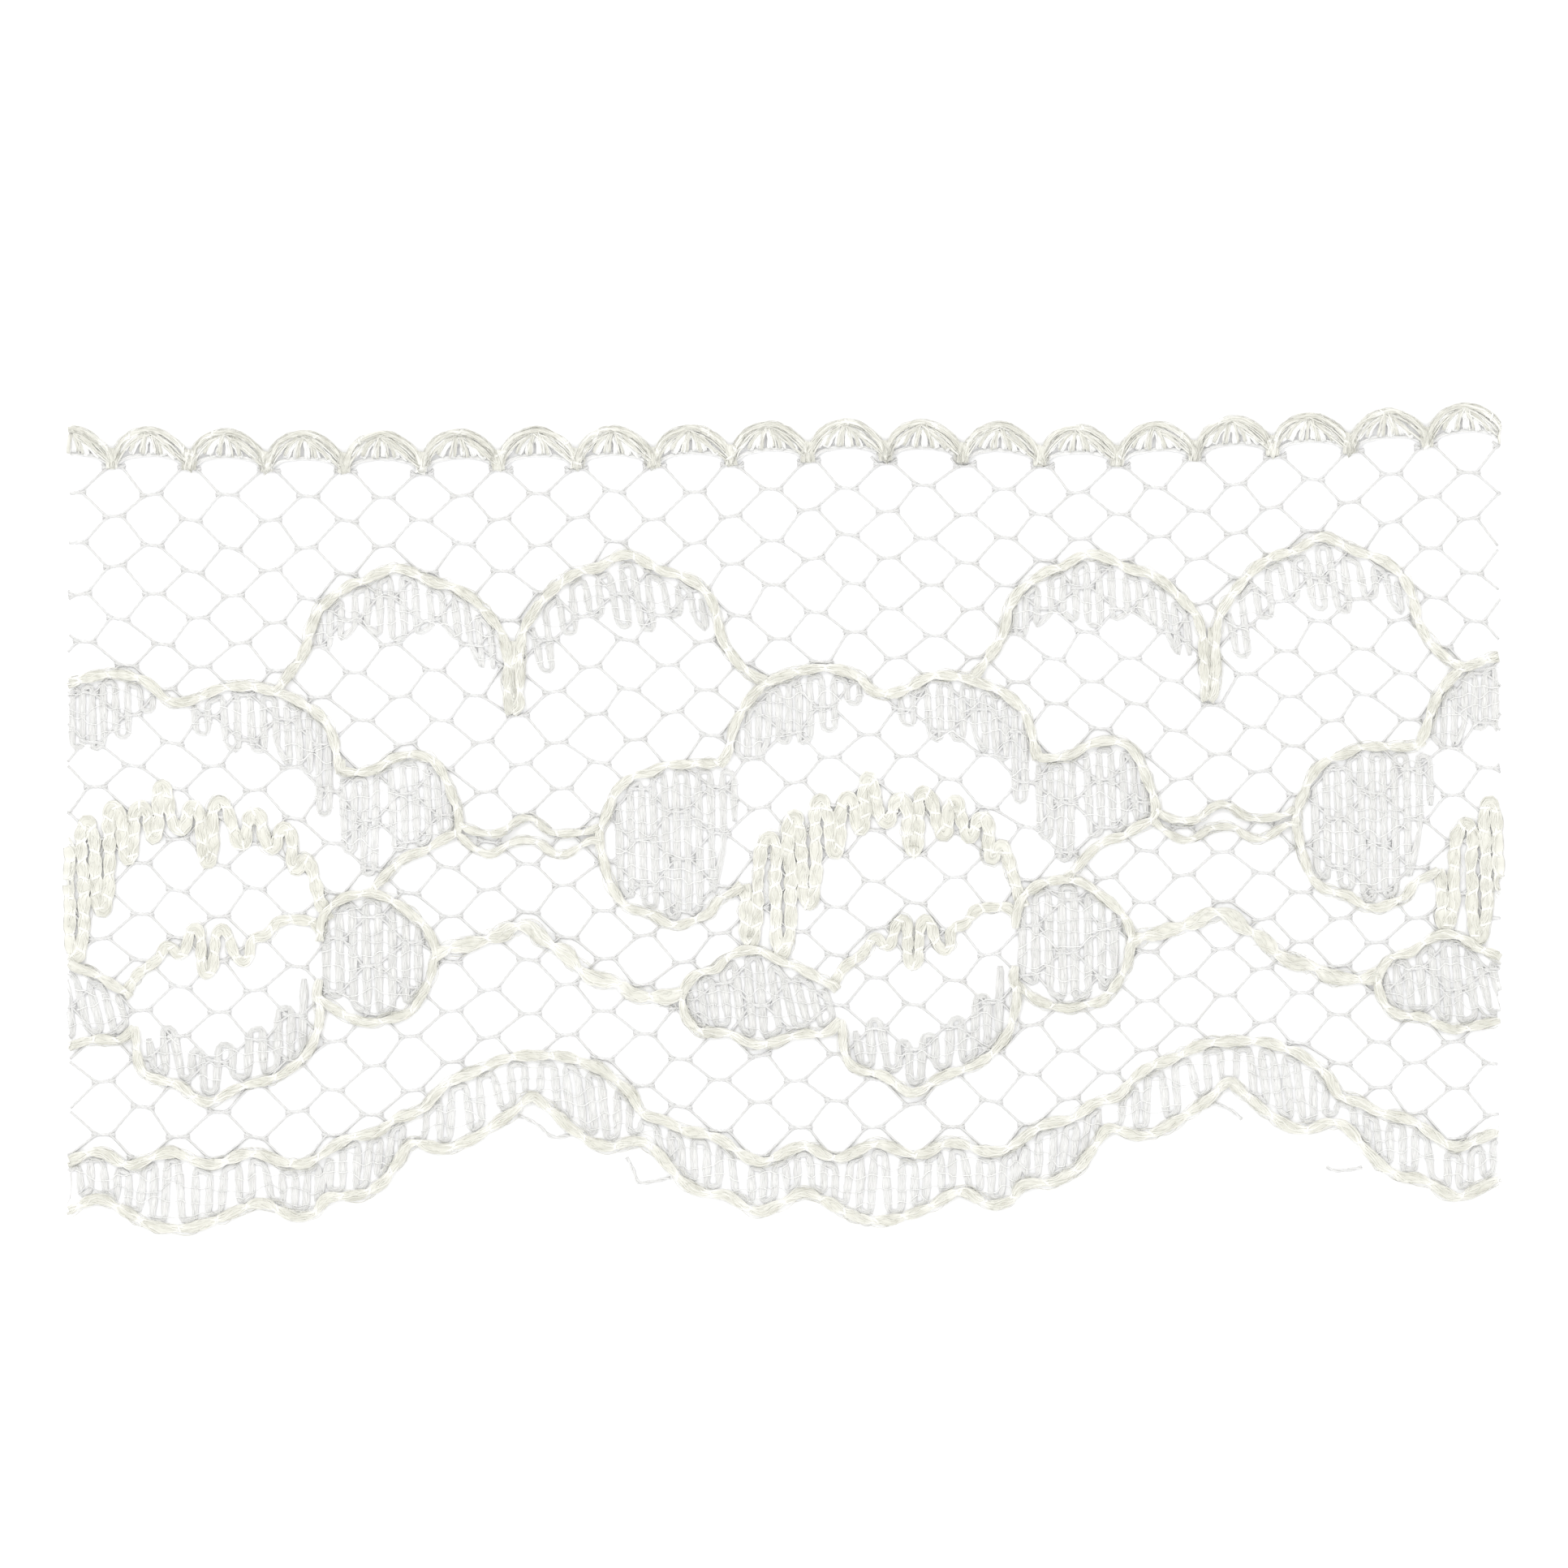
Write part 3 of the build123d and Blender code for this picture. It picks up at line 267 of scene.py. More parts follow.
CLOUD_RIBS_RIGHT = [
    (51.35, 33.0, 51.5, 31.3), (52.15, 33.2, 52.2, 31.2), (53.0, 33.6, 53.15, 30.6),
    (53.75, 33.8, 53.85, 30.2), (54.45, 33.8, 54.6, 30.3), (55.15, 33.7, 55.25, 30.3),
    (55.8, 33.6, 55.95, 30.6), (56.45, 33.3, 56.65, 29.4), (57.1, 33.1, 57.3, 29.3),
    (57.75, 32.8, 57.9, 29.0), (58.4, 32.2, 58.45, 26.5), (59.0, 31.4, 59.05, 26.5),
]
SMALL_PETAL_RIBS = [
    (17.0, 27.9, 17.15, 23.4), (17.7, 27.9, 17.75, 23.4), (18.4, 28.0, 18.3, 22.0),
    (19.1, 28.2, 18.95, 22.1), (19.95, 28.7, 20.2, 23.5), (20.7, 28.9, 20.9, 23.7),
    (21.45, 28.9, 21.6, 23.8), (22.15, 28.8, 22.35, 24.1), (22.8, 28.2, 23.05, 24.5),
    (23.4, 27.2, 23.7, 24.8),
]
LARGE_PETAL_RIBS = [
    (34.0, 26.4, 34.15, 21.2), (34.7, 27.5, 34.85, 20.5), (35.4, 27.7, 35.6, 20.2),
    (36.1, 28.0, 36.35, 20.0), (36.8, 28.3, 37.05, 19.5), (37.5, 28.4, 37.7, 19.3),
    (38.2, 28.4, 38.35, 19.5), (38.9, 28.4, 39.05, 19.9), (39.65, 28.4, 39.8, 20.7),
    (40.4, 28.4, 40.5, 23.8), (41.1, 28.3, 41.15, 25.3),
]
ROUND_LEAF_RIBS = [
    (16.0, 19.3, 16.0, 14.9), (16.8, 19.9, 16.85, 14.4), (17.6, 20.2, 17.7, 13.9),
    (18.4, 20.4, 18.55, 13.5), (19.2, 20.4, 19.25, 13.5), (20.05, 20.0, 20.1, 13.7),
    (20.9, 19.5, 20.9, 14.0), (21.65, 18.8, 21.7, 15.0),
]
LEFT_LEAF_RIBS = [
    (38.35, 14.9, 38.7, 12.9), (39.0, 15.5, 39.35, 12.7), (39.7, 15.7, 40.0, 12.7),
    (40.4, 16.1, 40.8, 12.8), (41.15, 16.7, 41.6, 12.5), (41.9, 16.9, 42.3, 12.0),
    (42.65, 16.9, 43.0, 12.0), (43.35, 16.5, 43.95, 12.4), (44.1, 15.9, 44.85, 12.7),
    (44.85, 15.8, 45.7, 12.7), (45.8, 15.4, 46.5, 12.6), (46.65, 15.0, 47.25, 13.2),
]
CRESCENT_RIBS = [
    (48.6, 12.4, 48.95, 10.3), (49.45, 13.1, 49.65, 10.2), (50.1, 13.1, 50.6, 10.0),
    (51.2, 11.7, 51.3, 10.0), (51.85, 11.8, 51.95, 9.2), (52.8, 12.2, 52.6, 9.2),
    (53.55, 12.1, 53.5, 10.2), (54.45, 13.1, 54.35, 10.2), (55.15, 13.3, 55.2, 10.4),
    (56.0, 14.5, 55.95, 10.9), (56.75, 14.6, 56.7, 11.3), (57.5, 16.4, 57.4, 12.0),
]

# the hem band of one repeat: its two cords and the passes between them
HEM_UPPER = [
    (16.1, 5.0), (16.8, 5.5), (17.5, 5.85), (18.4, 6.0), (19.2, 6.15), (19.8, 6.6), (20.4, 7.05),
    (21.2, 7.25), (22.0, 7.55), (22.4, 8.15), (22.9, 8.7), (23.6, 9.2), (24.4, 9.6), (25.2, 9.9),
    (25.8, 10.1), (26.4, 10.45), (27.2, 10.75), (28.0, 10.85), (28.9, 10.9), (29.8, 10.9), (30.6, 10.8),
    (31.4, 10.6), (32.2, 10.3), (33.0, 10.0), (33.6, 9.55), (34.3, 9.0), (34.9, 8.4), (35.2, 7.75),
    (35.6, 7.2), (36.2, 7.05), (36.9, 6.85), (37.5, 6.5), (38.1, 6.2), (38.9, 6.1), (39.6, 6.0),
    (40.3, 5.75), (40.9, 5.3), (41.6, 4.8), (42.3, 4.4), (43.0, 4.3), (43.6, 4.6), (44.2, 4.9),
    (44.9, 5.2), (45.5, 5.3), (46.2, 5.1), (46.8, 4.7), (47.5, 4.5), (48.2, 4.75), (48.9, 5.1),
    (49.6, 5.4), (50.2, 5.45), (50.9, 5.2), (51.6, 4.9), (52.2, 4.7), (52.8, 4.8), (53.4, 5.1),
    (54.0, 5.45), (54.8, 5.55), (55.5, 5.35), (56.2, 5.0), (56.9, 4.9), (57.6, 5.0), (58.2, 5.3),
]
HEM_LOWER = [
    (15.9, 2.15), (16.6, 2.2), (17.4, 2.2), (18.2, 2.3), (19.0, 2.7), (19.6, 3.2), (20.1, 3.9),
    (20.6, 4.6), (20.95, 5.25), (21.4, 5.6), (22.0, 5.45), (22.6, 5.2), (23.2, 5.1), (23.9, 5.25),
    (24.6, 5.5), (25.3, 5.9), (25.9, 6.3), (26.6, 6.8), (27.3, 7.2), (27.9, 7.7), (28.3, 8.2),
    (28.8, 8.45), (29.2, 8.1), (29.8, 7.55), (30.5, 6.9), (31.2, 6.3), (31.9, 5.8), (32.6, 5.4),
    (33.4, 5.2), (34.0, 5.35), (34.7, 5.6), (35.4, 5.65), (35.95, 5.4), (36.4, 4.9), (36.9, 4.3),
    (37.4, 3.7), (38.0, 3.1), (38.7, 2.65), (39.4, 2.35), (40.2, 2.35), (40.8, 2.2), (41.4, 1.85),
    (42.0, 1.45), (42.6, 1.25), (43.2, 1.35), (43.9, 1.7), (44.6, 2.1), (45.2, 2.45), (45.9, 2.4),
    (46.5, 2.05), (47.2, 1.65), (47.9, 1.3), (48.6, 0.95), (49.3, 0.75), (50.0, 0.75), (50.7, 0.7),
    (51.3, 0.85), (52.0, 1.1), (52.7, 1.35), (53.4, 1.7), (54.1, 2.1), (54.8, 2.5), (55.5, 2.45),
    (56.2, 2.05), (56.8, 1.7), (57.3, 1.65), (57.8, 1.8), (58.3, 2.0),
]
HEM_RIBS = [
    (16.3, 4.7, 16.2, 2.6), (17.05, 5.2, 17.0, 2.6), (18.0, 5.5, 17.8, 2.6), (18.7, 5.6, 18.45, 2.9),
    (19.4, 5.8, 19.1, 3.3), (20.1, 6.3, 19.75, 4.0), (20.8, 6.7, 20.5, 5.1), (22.2, 7.3, 22.1, 5.9),
    (23.0, 8.2, 23.0, 5.6), (23.75, 8.8, 23.6, 5.7), (24.6, 9.1, 24.9, 6.2), (25.4, 9.5, 25.6, 6.7),
    (26.3, 9.8, 26.8, 7.5), (27.3, 10.3, 27.5, 7.9), (28.2, 10.4, 28.25, 8.6), (29.2, 10.4, 29.2, 8.6),
    (30.0, 10.4, 30.3, 7.6), (30.7, 10.3, 31.1, 6.9), (31.4, 10.1, 31.9, 6.4), (32.1, 9.8, 32.6, 6.0),
    (32.9, 9.5, 33.3, 5.7), (33.9, 8.8, 33.95, 5.9), (34.7, 8.0, 34.65, 6.1), (35.35, 6.9, 35.4, 6.2),
    (36.3, 6.6, 36.6, 5.2), (37.1, 6.3, 37.4, 4.3), (37.8, 5.8, 38.0, 3.6), (38.6, 5.7, 38.7, 3.1),
    (39.45, 5.5, 39.45, 2.8), (40.2, 5.4, 40.2, 2.8), (40.9, 4.8, 41.25, 2.4), (42.15, 4.0, 42.25, 1.8),
    (43.0, 3.8, 42.85, 1.8), (43.65, 4.1, 43.6, 2.1), (44.3, 4.4, 44.4, 2.5), (45.0, 4.8, 45.05, 2.9),
    (45.75, 4.8, 45.95, 2.8), (46.65, 4.3, 46.65, 2.4), (47.4, 4.0, 47.3, 2.0), (48.3, 4.3, 48.0, 1.7),
    (49.0, 4.7, 48.8, 1.3), (49.75, 5.0, 49.55, 1.2), (50.4, 4.9, 50.65, 1.2), (51.45, 4.5, 51.45, 1.3),
    (52.3, 4.2, 52.2, 1.6), (53.1, 4.5, 52.9, 1.8), (53.85, 4.9, 53.9, 2.4), (54.55, 5.1, 54.6, 2.9),
    (55.25, 4.9, 55.6, 2.8), (56.2, 4.5, 56.3, 2.5), (57.0, 4.4, 56.95, 2.1), (57.75, 4.6, 57.6, 2.2),
    (58.45, 5.0, 58.3, 2.5),
]

# snippets of ground thread left under the hem
CUT_THREADS = [
    [(27.85, 7.15), (28.6, 6.9), (29.3, 6.4), (29.9, 5.75), (31.0, 5.95)],
    [(34.5, 4.6), (35.0, 3.7), (35.15, 2.95), (36.1, 3.1), (37.2, 3.35)],
    [(70.4, 8.0), (71.1, 7.8), (71.8, 7.5), (72.4, 6.95)],
    [(77.6, 4.0), (78.1, 3.75), (79.2, 3.85), (79.8, 4.0)],
]

# what carries each cord on to its neighbours, before its first point and after its last
JOINS = {
    "arch_cord_left": ([(12.85, 33.2)], [(27.4, 31.9)]),
    "arch_cord_right": ([(27.5, 31.9)], [(42.7, 34.05), (43.2, 33.85)]),
    "cloud_cord": ([(40.2, 28.7)], [(59.8, 29.1)]),
    "small_petal_cord": ([(16.85, 29.1)], [(18.8, 20.9)]),
    "large_petal_cord": ([(40.7, 29.3)], [(41.6, 21.4)]),
    "loop_stem_upper": ([(24.2, 25.2)], [(32.8, 25.0)]),
    "loop_stem_lower": ([(24.1, 24.5)], [(32.5, 24.2), (33.0, 24.0)]),
    "wave_stem": ([(22.7, 17.1)], [(38.0, 14.8)]),
    "round_leaf_cord": ([(15.6, 17.9)], [(15.9, 14.15), (15.45, 14.6)]),
    "left_leaf_cord": ([(47.5, 14.9)], [(47.7, 13.1)]),
    "crescent_cord": ([(47.7, 13.1)], [(58.45, 16.4)]),
    "ring_yarn": ([(41.7, 21.4)], [(59.0, 20.0)]),
    "sprig_yarn": ([(47.2, 15.2)], [(58.6, 19.2)]),
}

# a yarn in the gap of the stem where two arches meet
STEM_FILL = [(27.6, 36.4), (27.56, 35.2), (27.53, 33.8), (27.5, 32.4)]

# what the random draws start from; each motif and repeat has its own
NET_SEED = 7
MOTIF_SEED = 100
FILLING_SEED = 900
SEED_PER_REPEAT = 10
SEED_PER_MOTIF = 50
HEADING_SEED = 31
HEM_UPPER_SEED = 41
HEM_LOWER_SEED = 42
HEM_RIBS_SEED = 43
SNIPPET_SEED = 70

# corners round a strand's section
SIDES = 5
FINE_SIDES = 4
HAIR_SIDES = 3
CORE_SIDES = 10

# tone: 0 is a yarn's shaded colour, 1 its light one, and above 1 it goes to white
MIDDLE_TONE = 0.2
# painted light and shade on the outline cords: paler where the ties pinch a yarn, darker on the swelling
# between ties
PAINTED_LIGHT_AT_TIES = 1.15
PAINTED_SHADE_BETWEEN = 0.15
STRAND_TONES = (-0.2, 0.9)
TIE_TONE = 1.5
WHITE_THREAD = (0.94, 0.94, 0.92)

# outline cords; each wave is a height and the length of its bends
TIE_UNEVEN = (0.75, 1.25)
BODY_WAVE = (0.1, 3.0)
DRIFT_WAVE = (0.03, 4.0)
WIND_WAVE = (0.6, 3.5)
OUT_WAVE = (0.06, 2.5)
THICK_WAVE = (0.2, 1.6)
OUT_SPREAD = (0.88, 1.04)
PLACE_SPREAD = 0.3
SWELL_SHAPE = 0.7
LEAST_HEIGHT = 0.75

# threads tied round a cord
TIE_RADIUS = 0.045
TIE_LOOPS = 2
TIE_POINTS = 26
TIE_START = -0.4
TIE_SLANT = (0.08, 0.2)
TIE_PITCH = 0.07
TIE_SLACK = 0.04
TIE_FLATNESS = 0.4

# cut ends of ground thread, two strands twisted together
SNIPPET_TWIST = 4
SNIPPET_HALF_WIDTH = 0.06
SNIPPET_HALF_HEIGHT = 0.05
SNIPPET_RADIUS = THREAD / 2 * 0.9

# stray fibres
HAIR_RADIUS = 0.02
HAIR_SPAN = (0.7, 2.0)
HAIR_ROOT = 0.75
HAIR_BULGE = (0.15, 0.6)
HAIR_LIFT = (-0.12, 0.2)
HAIR_WAVE = 0.06
HAIR_BENDS = (1, 2.5)
HAIR_TOP = 0.88

# filling yarns, narrower where they turn
END_WIDTH = 0.5
SWELL_REACH = 1.1
FLAT_BODY_WAVE = (0.14, 3.2)
FLAT_STRAND_WAVE = (0.3, 3.5)
FLAT_THICK_WAVE = (0.2, 1.3)
FILLING_WIDTH = 0.45
HEM_FILLING_WIDTH = 0.5


# ---------------------------------------------------------------- where things lie

def smooth(t):
    """eases from 0 to 1, for a number or an array"""
    t = np.clip(t, 0.0, 1.0)
    return t * t * (3 - 2 * t)


def station(table, x):
    """reads a table of stations along the lace at x, easing between them"""
    x = np.asarray(x, float)
    out = np.full(x.shape, float(table[0][1]))
    for (xa, ya), (xb, yb) in zip(table, table[1:]):
        out = np.where(x > xa, ya + (yb - ya) * smooth((x - xa) / (xb - xa)), out)
    return out


def lay(points, repeat=0):
    """where a run of points of the middle repeat lies in another repeat, as the lace really lies"""
    p = np.array(points, float)
    x = p[:, 0] + repeat * REPEAT
    if repeat < 0:
        x = x - LEFT_SLIP * smooth((SLIP_SPAN[1] - p[:, 0]) / (SLIP_SPAN[1] - SLIP_SPAN[0]))
    y = p[:, 1] + station(RISE, x) - station(RISE, p[:, 0])
    return np.stack([x, y], 1)


def net_point(p):
    """where points of the unstretched net lie"""
    p = np.asarray(p, float)
    x = p[..., 0] + LEAN * smooth((LINK_Y - p[..., 1]) / LEAN_DEPTH)
    t = smooth((p[..., 1] - BLEND_FROM) / (BLEND_TO - BLEND_FROM))
    y = p[..., 1] + (1 - t) * station(RISE, x) + t * station(HEADING_RISE, x)
    return np.stack([x, y], -1)


def rounded(points, reach, step):
    """a run of points with its corners rounded, as points an even step apart"""
    p = np.array(points, float)
    line = [p[:1]]
    t = np.linspace(0, 1, CORNER_POINTS)[:, None]
    for a, corner, b in zip(p, p[1:], p[2:]):
        start = corner + (a - corner) * min(reach / max(np.linalg.norm(a - corner), TINY), 0.5)
        end = corner + (b - corner) * min(reach / max(np.linalg.norm(b - corner), TINY), 0.5)
        line.append((1 - t) ** 2 * start + 2 * t * (1 - t) * corner + t * t * end)
    line = np.concatenate(line + [p[-1:]])
    gaps = np.linalg.norm(np.diff(line, axis=0), axis=1)
    far = np.concatenate([[0], np.cumsum(gaps)])
    at = np.linspace(0, far[-1], max(int(far[-1] / step) + 1, 3))
    return np.stack([np.interp(at, far, line[:, i]) for i in range(p.shape[1])], 1)


# ---------------------------------------------------------------- strands to mesh

class Tubes:
    """collects round strands and makes one mesh of them"""

    def __init__(self):
        self.points = []
        self.loops = []
        self.sizes = []
        self.facts = []
        self.count = 0

    def add(self, centres, radii, tone, sides=SIDES, tall=1.0):
        """a strand along centres (n, 3), in millimetres, tall times as high as it is wide"""
        n = len(centres)
        if n < 2:
            return
        along = np.gradient(centres, axis=0)
        along /= np.maximum(np.linalg.norm(along, axis=1, keepdims=True), TINY)
        across = np.stack([-along[:, 1], along[:, 0], np.zeros(n)], 1)
        across /= np.maximum(np.linalg.norm(across, axis=1, keepdims=True), TINY)
        above = np.cross(along, across) * np.broadcast_to(tall, (n,))[:, None]
        turn = np.arange(sides) * 2 * math.pi / sides
        ring = np.cos(turn)[None, :, None] * across[:, None]
        ring = ring + np.sin(turn)[None, :, None] * above[:, None]
        radii = np.broadcast_to(radii, (n,))
        self.points.append((centres[:, None] + ring * radii[:, None, None]).reshape(-1, 3))
        i = np.arange(n - 1)[:, None] * sides
        k = np.arange(sides)[None, :]
        nxt = (k + 1) % sides
        quads = np.stack([i + k, i + nxt, i + sides + nxt, i + sides + k], -1).reshape(-1)
        ends = np.concatenate([np.arange(sides)[::-1], (n - 1) * sides + np.arange(sides)])
        self.loops.append(np.concatenate([quads, ends]) + self.count)
        self.sizes.append(np.concatenate([np.full((n - 1) * sides, 4), [sides, sides]]))
        far = np.concatenate([[0], np.cumsum(np.linalg.norm(np.diff(centres, axis=0), axis=1))])
        tones = np.repeat(np.broadcast_to(tone, (n,)), sides)
        self.facts.append(np.stack([np.repeat(far, sides), np.tile(turn, n), tones], 1))
        self.count += n * sides

    def mesh(self, name):
        """the strands as one mesh object in the row frame, in metres"""
        co = np.concatenate(self.points)
        co[:, 0] -= LENGTH / 2
        co[:, 1] -= (LOWEST + HIGHEST) / 2
        co[:, 2] = np.maximum(co[:, 2], 0.0)
        loops = np.concatenate(self.loops)
        sizes = np.concatenate(self.sizes)
        facts = np.concatenate(self.facts)
        me = bpy.data.meshes.new(name)
        me.vertices.add(len(co))
        me.vertices.foreach_set("co", (co * MM).ravel())
        me.loops.add(len(loops))
        me.loops.foreach_set("vertex_index", loops.astype(np.int32))
        me.polygons.add(len(sizes))
        starts = np.concatenate([[0], np.cumsum(sizes)[:-1]])
        me.polygons.foreach_set("loop_start", starts.astype(np.int32))
        me.polygons.foreach_set("use_smooth", np.ones(len(sizes), bool))
        for i, word in enumerate(("along", "around", "tone")):
            attribute = me.attributes.new(word, "FLOAT", "POINT")
            attribute.data.foreach_set("value", facts[:, i].astype(np.float32))
        me.update(calc_edges=True)
        me.validate()
        ob = bpy.data.objects.new(name, me)
        bpy.context.scene.collection.objects.link(ob)
        return ob


def wander(rnd, s, size, span):
    """a slow random wave along s, as high as size, whose bends are about span long"""
    out = np.zeros(len(s))
    for share, ratio in ((0.6, 1.0), (0.4, 2.3)):
        bend = span * rnd.uniform(0.7, 1.4)
        out += share * np.sin(s * 2 * math.pi / bend * ratio + rnd.uniform(0, 6.283))
    return out * size


def lengths(route):
    """distance along a route at each of its points"""
    return np.concatenate([[0], np.cumsum(np.linalg.norm(np.diff(route, axis=0), axis=1))])


def beside(route):
    """unit direction to the left of a route at each of its points"""
    t = np.gradient(route, axis=0)
    t /= np.maximum(np.linalg.norm(t, axis=1, keepdims=True), TINY)
    return np.stack([-t[:, 1], t[:, 0]], 1)


def pieces_inside(keep):
    """runs of True as (first, last + 1)"""
    edges = np.flatnonzero(np.diff(np.concatenate([[0], keep.astype(int), [0]])))
    return list(zip(edges[::2], edges[1::2]))


def put(tubes, rnd, centres, radii, tone, sides=SIDES, tall=1.0):
    """adds a strand, cut off at the lace's two cut ends"""
    low = rnd.uniform(0.0, CUT_FRAY)
    high = LENGTH - rnd.uniform(0.0, CUT_FRAY)
    keep = (centres[:, 0] >= low) & (centres[:, 0] <= high)
    radii = np.broadcast_to(radii, (len(centres),))
    tall = np.broadcast_to(tall, (len(centres),))
    tone = np.broadcast_to(tone, (len(centres),))
    for a, b in pieces_inside(keep):
        if b - a > 2:
            tubes.add(centres[a:b], radii[a:b], tone[a:b], sides, tall[a:b])


def cord(tubes, rnd, points, width, strands=15, thick=0.11, height=0.3, z=0.32, tie=1.9, pinch=0.5,
         twist=0.3, fuzz=0.5, step=0.2, reach=1.0):
    """a loose yarn: a soft middle under fine strands, swelling between the threads that tie it down"""
    route = rounded(points, reach, step)
    s = lengths(route)
    left = beside(route)
    ties = [-rnd.uniform(0, tie)]
    while ties[-1] < s[-1]:
        ties.append(ties[-1] + tie * rnd.uniform(*TIE_UNEVEN))
    ties = np.array(ties)
    after = np.clip(np.searchsorted(ties, s), 1, len(ties) - 1)
    share = (s - ties[after - 1]) / (ties[after] - ties[after - 1])
    swell = np.sin(np.clip(share, 0, 1) * math.pi) ** SWELL_SHAPE
    body = (1 - pinch + pinch * swell) * (1 + wander(rnd, s, *BODY_WAVE))
    half_w = (width - thick) / 2 * body
    half_h = (height - thick) / 2 * (LEAST_HEIGHT + (1 - LEAST_HEIGHT) * swell)
    drift = wander(rnd, s, *DRIFT_WAVE)
    middle = np.column_stack([route + left * drift[:, None], np.full(len(s), z)])
    # painted light and shade: the strands are painted paler at the ties and darker on the swelling between
    # them, as light falls on the bulge
    painted_light_and_shade = PAINTED_LIGHT_AT_TIES * (1 - swell) - PAINTED_SHADE_BETWEEN
    put(tubes, rnd, middle, half_w, MIDDLE_TONE + painted_light_and_shade, CORE_SIDES, half_h / half_w)
    for i in range(strands):
        place = 2 * math.pi * (i + rnd.uniform(-PLACE_SPREAD, PLACE_SPREAD)) / strands
        angle = place + twist * s + wander(rnd, s, *WIND_WAVE)
        out = rnd.uniform(*OUT_SPREAD) + wander(rnd, s, *OUT_WAVE)
        u = half_w * out * np.cos(angle) + drift
        v = half_h * out * np.sin(angle)
        centres = np.column_stack([route + left * u[:, None], z + v])
        radii = thick / 2 * (1 + wander(rnd, s, *THICK_WAVE))
        put(tubes, rnd, centres, radii, rnd.uniform(*STRAND_TONES) + painted_light_and_shade)
    for t in ties[1:-1]:
        i = int(np.searchsorted(s, t))
        if 0 < i < len(s) - 1:
            half = width * (1 - pinch) / 2 + TIE_SLACK
            tie_loop(tubes, rnd, route[i], left[i], half, height * TIE_FLATNESS, z)
    for _ in range(int(s[-1] / fuzz)):
        hair(tubes, rnd, route, left, s, width / 2, z)


def tie_loop(tubes, rnd, at, left, half_w, half_h, z):
    """a ground thread looped twice round a yarn"""
    ahead = np.array([left[1], -left[0]])
    a = np.linspace(TIE_START, TIE_START + TIE_LOOPS * 2 * math.pi, TIE_POINTS)
    slant = rnd.uniform(*TIE_SLANT) * rnd.choice((-1, 1))
    shift = slant * np.cos(a) + np.linspace(-TIE_PITCH, TIE_PITCH, len(a))
    flat = at + left * (half_w * np.cos(a))[:, None] + ahead * shift[:, None]
    put(tubes, rnd, np.column_stack([flat, z + half_h * np.sin(a)]), TIE_RADIUS, TIE_TONE, FINE_SIDES)


def hair(tubes, rnd, route, left, s, half, z):
    """a stray fibre that leaves a yarn and comes back to it"""
    span = rnd.uniform(*HAIR_SPAN)
    start = rnd.uniform(0, max(s[-1] - span, 0.1))
    run = np.flatnonzero((s >= start) & (s <= start + span))
    if len(run) < 4:
        return
    t = (s[run] - start) / span
    side = rnd.choice((-1, 1))
    u = side * half * (HAIR_ROOT + rnd.uniform(*HAIR_BULGE) * np.sin(t * math.pi) ** 1.5)
    flat = route[run] + left[run] * u[:, None]
    lift = z + rnd.uniform(*HAIR_LIFT) + HAIR_WAVE * np.sin(t * math.pi * rnd.uniform(*HAIR_BENDS))
    centres = np.column_stack([flat, np.minimum(lift, HAIR_TOP)])
    put(tubes, rnd, centres, HAIR_RADIUS, rnd.random(), HAIR_SIDES)


def flat_yarn(tubes, rnd, points, width, strands=7, thick=0.07, height=0.13, z=0.11, reach=0.3,
              step=0.28, bright=0.0):
    """a flat filling yarn: a soft middle with fine filaments side by side over it"""
    route = rounded(points, reach, step)
    s = lengths(route)
    left = beside(route)
    from_turn = np.min(np.linalg.norm(route[:, None] - np.asarray(points, float)[None], axis=2), axis=1)
    swell = END_WIDTH + (1 - END_WIDTH) * np.minimum(from_turn / SWELL_REACH, 1) ** SWELL_SHAPE
    half_w = (width - thick) / 2 * (swell * (1 + wander(rnd, s, *FLAT_BODY_WAVE)))
    half_h = (height - thick) / 2
    middle = np.column_stack([route, np.full(len(s), z)])
    put(tubes, rnd, middle, half_w, MIDDLE_TONE + bright, CORE_SIDES, half_h / half_w)
    for i in range(strands):
        angle = math.pi * (i + 0.5) / strands + wander(rnd, s, *FLAT_STRAND_WAVE)
        aside = left * (half_w * np.cos(angle))[:, None]
        centres = np.column_stack([route + aside, z + half_h * np.sin(angle)])
        radii = thick / 2 * (1 + wander(rnd, s, *FLAT_THICK_WAVE))
        put(tubes, rnd, centres, radii, rnd.random() + bright, FINE_SIDES)


# ---------------------------------------------------------------- the ground

def line_at(points, x):
    """height of a line of points at x"""
    return np.interp(x, points[:, 0], points[:, 1])


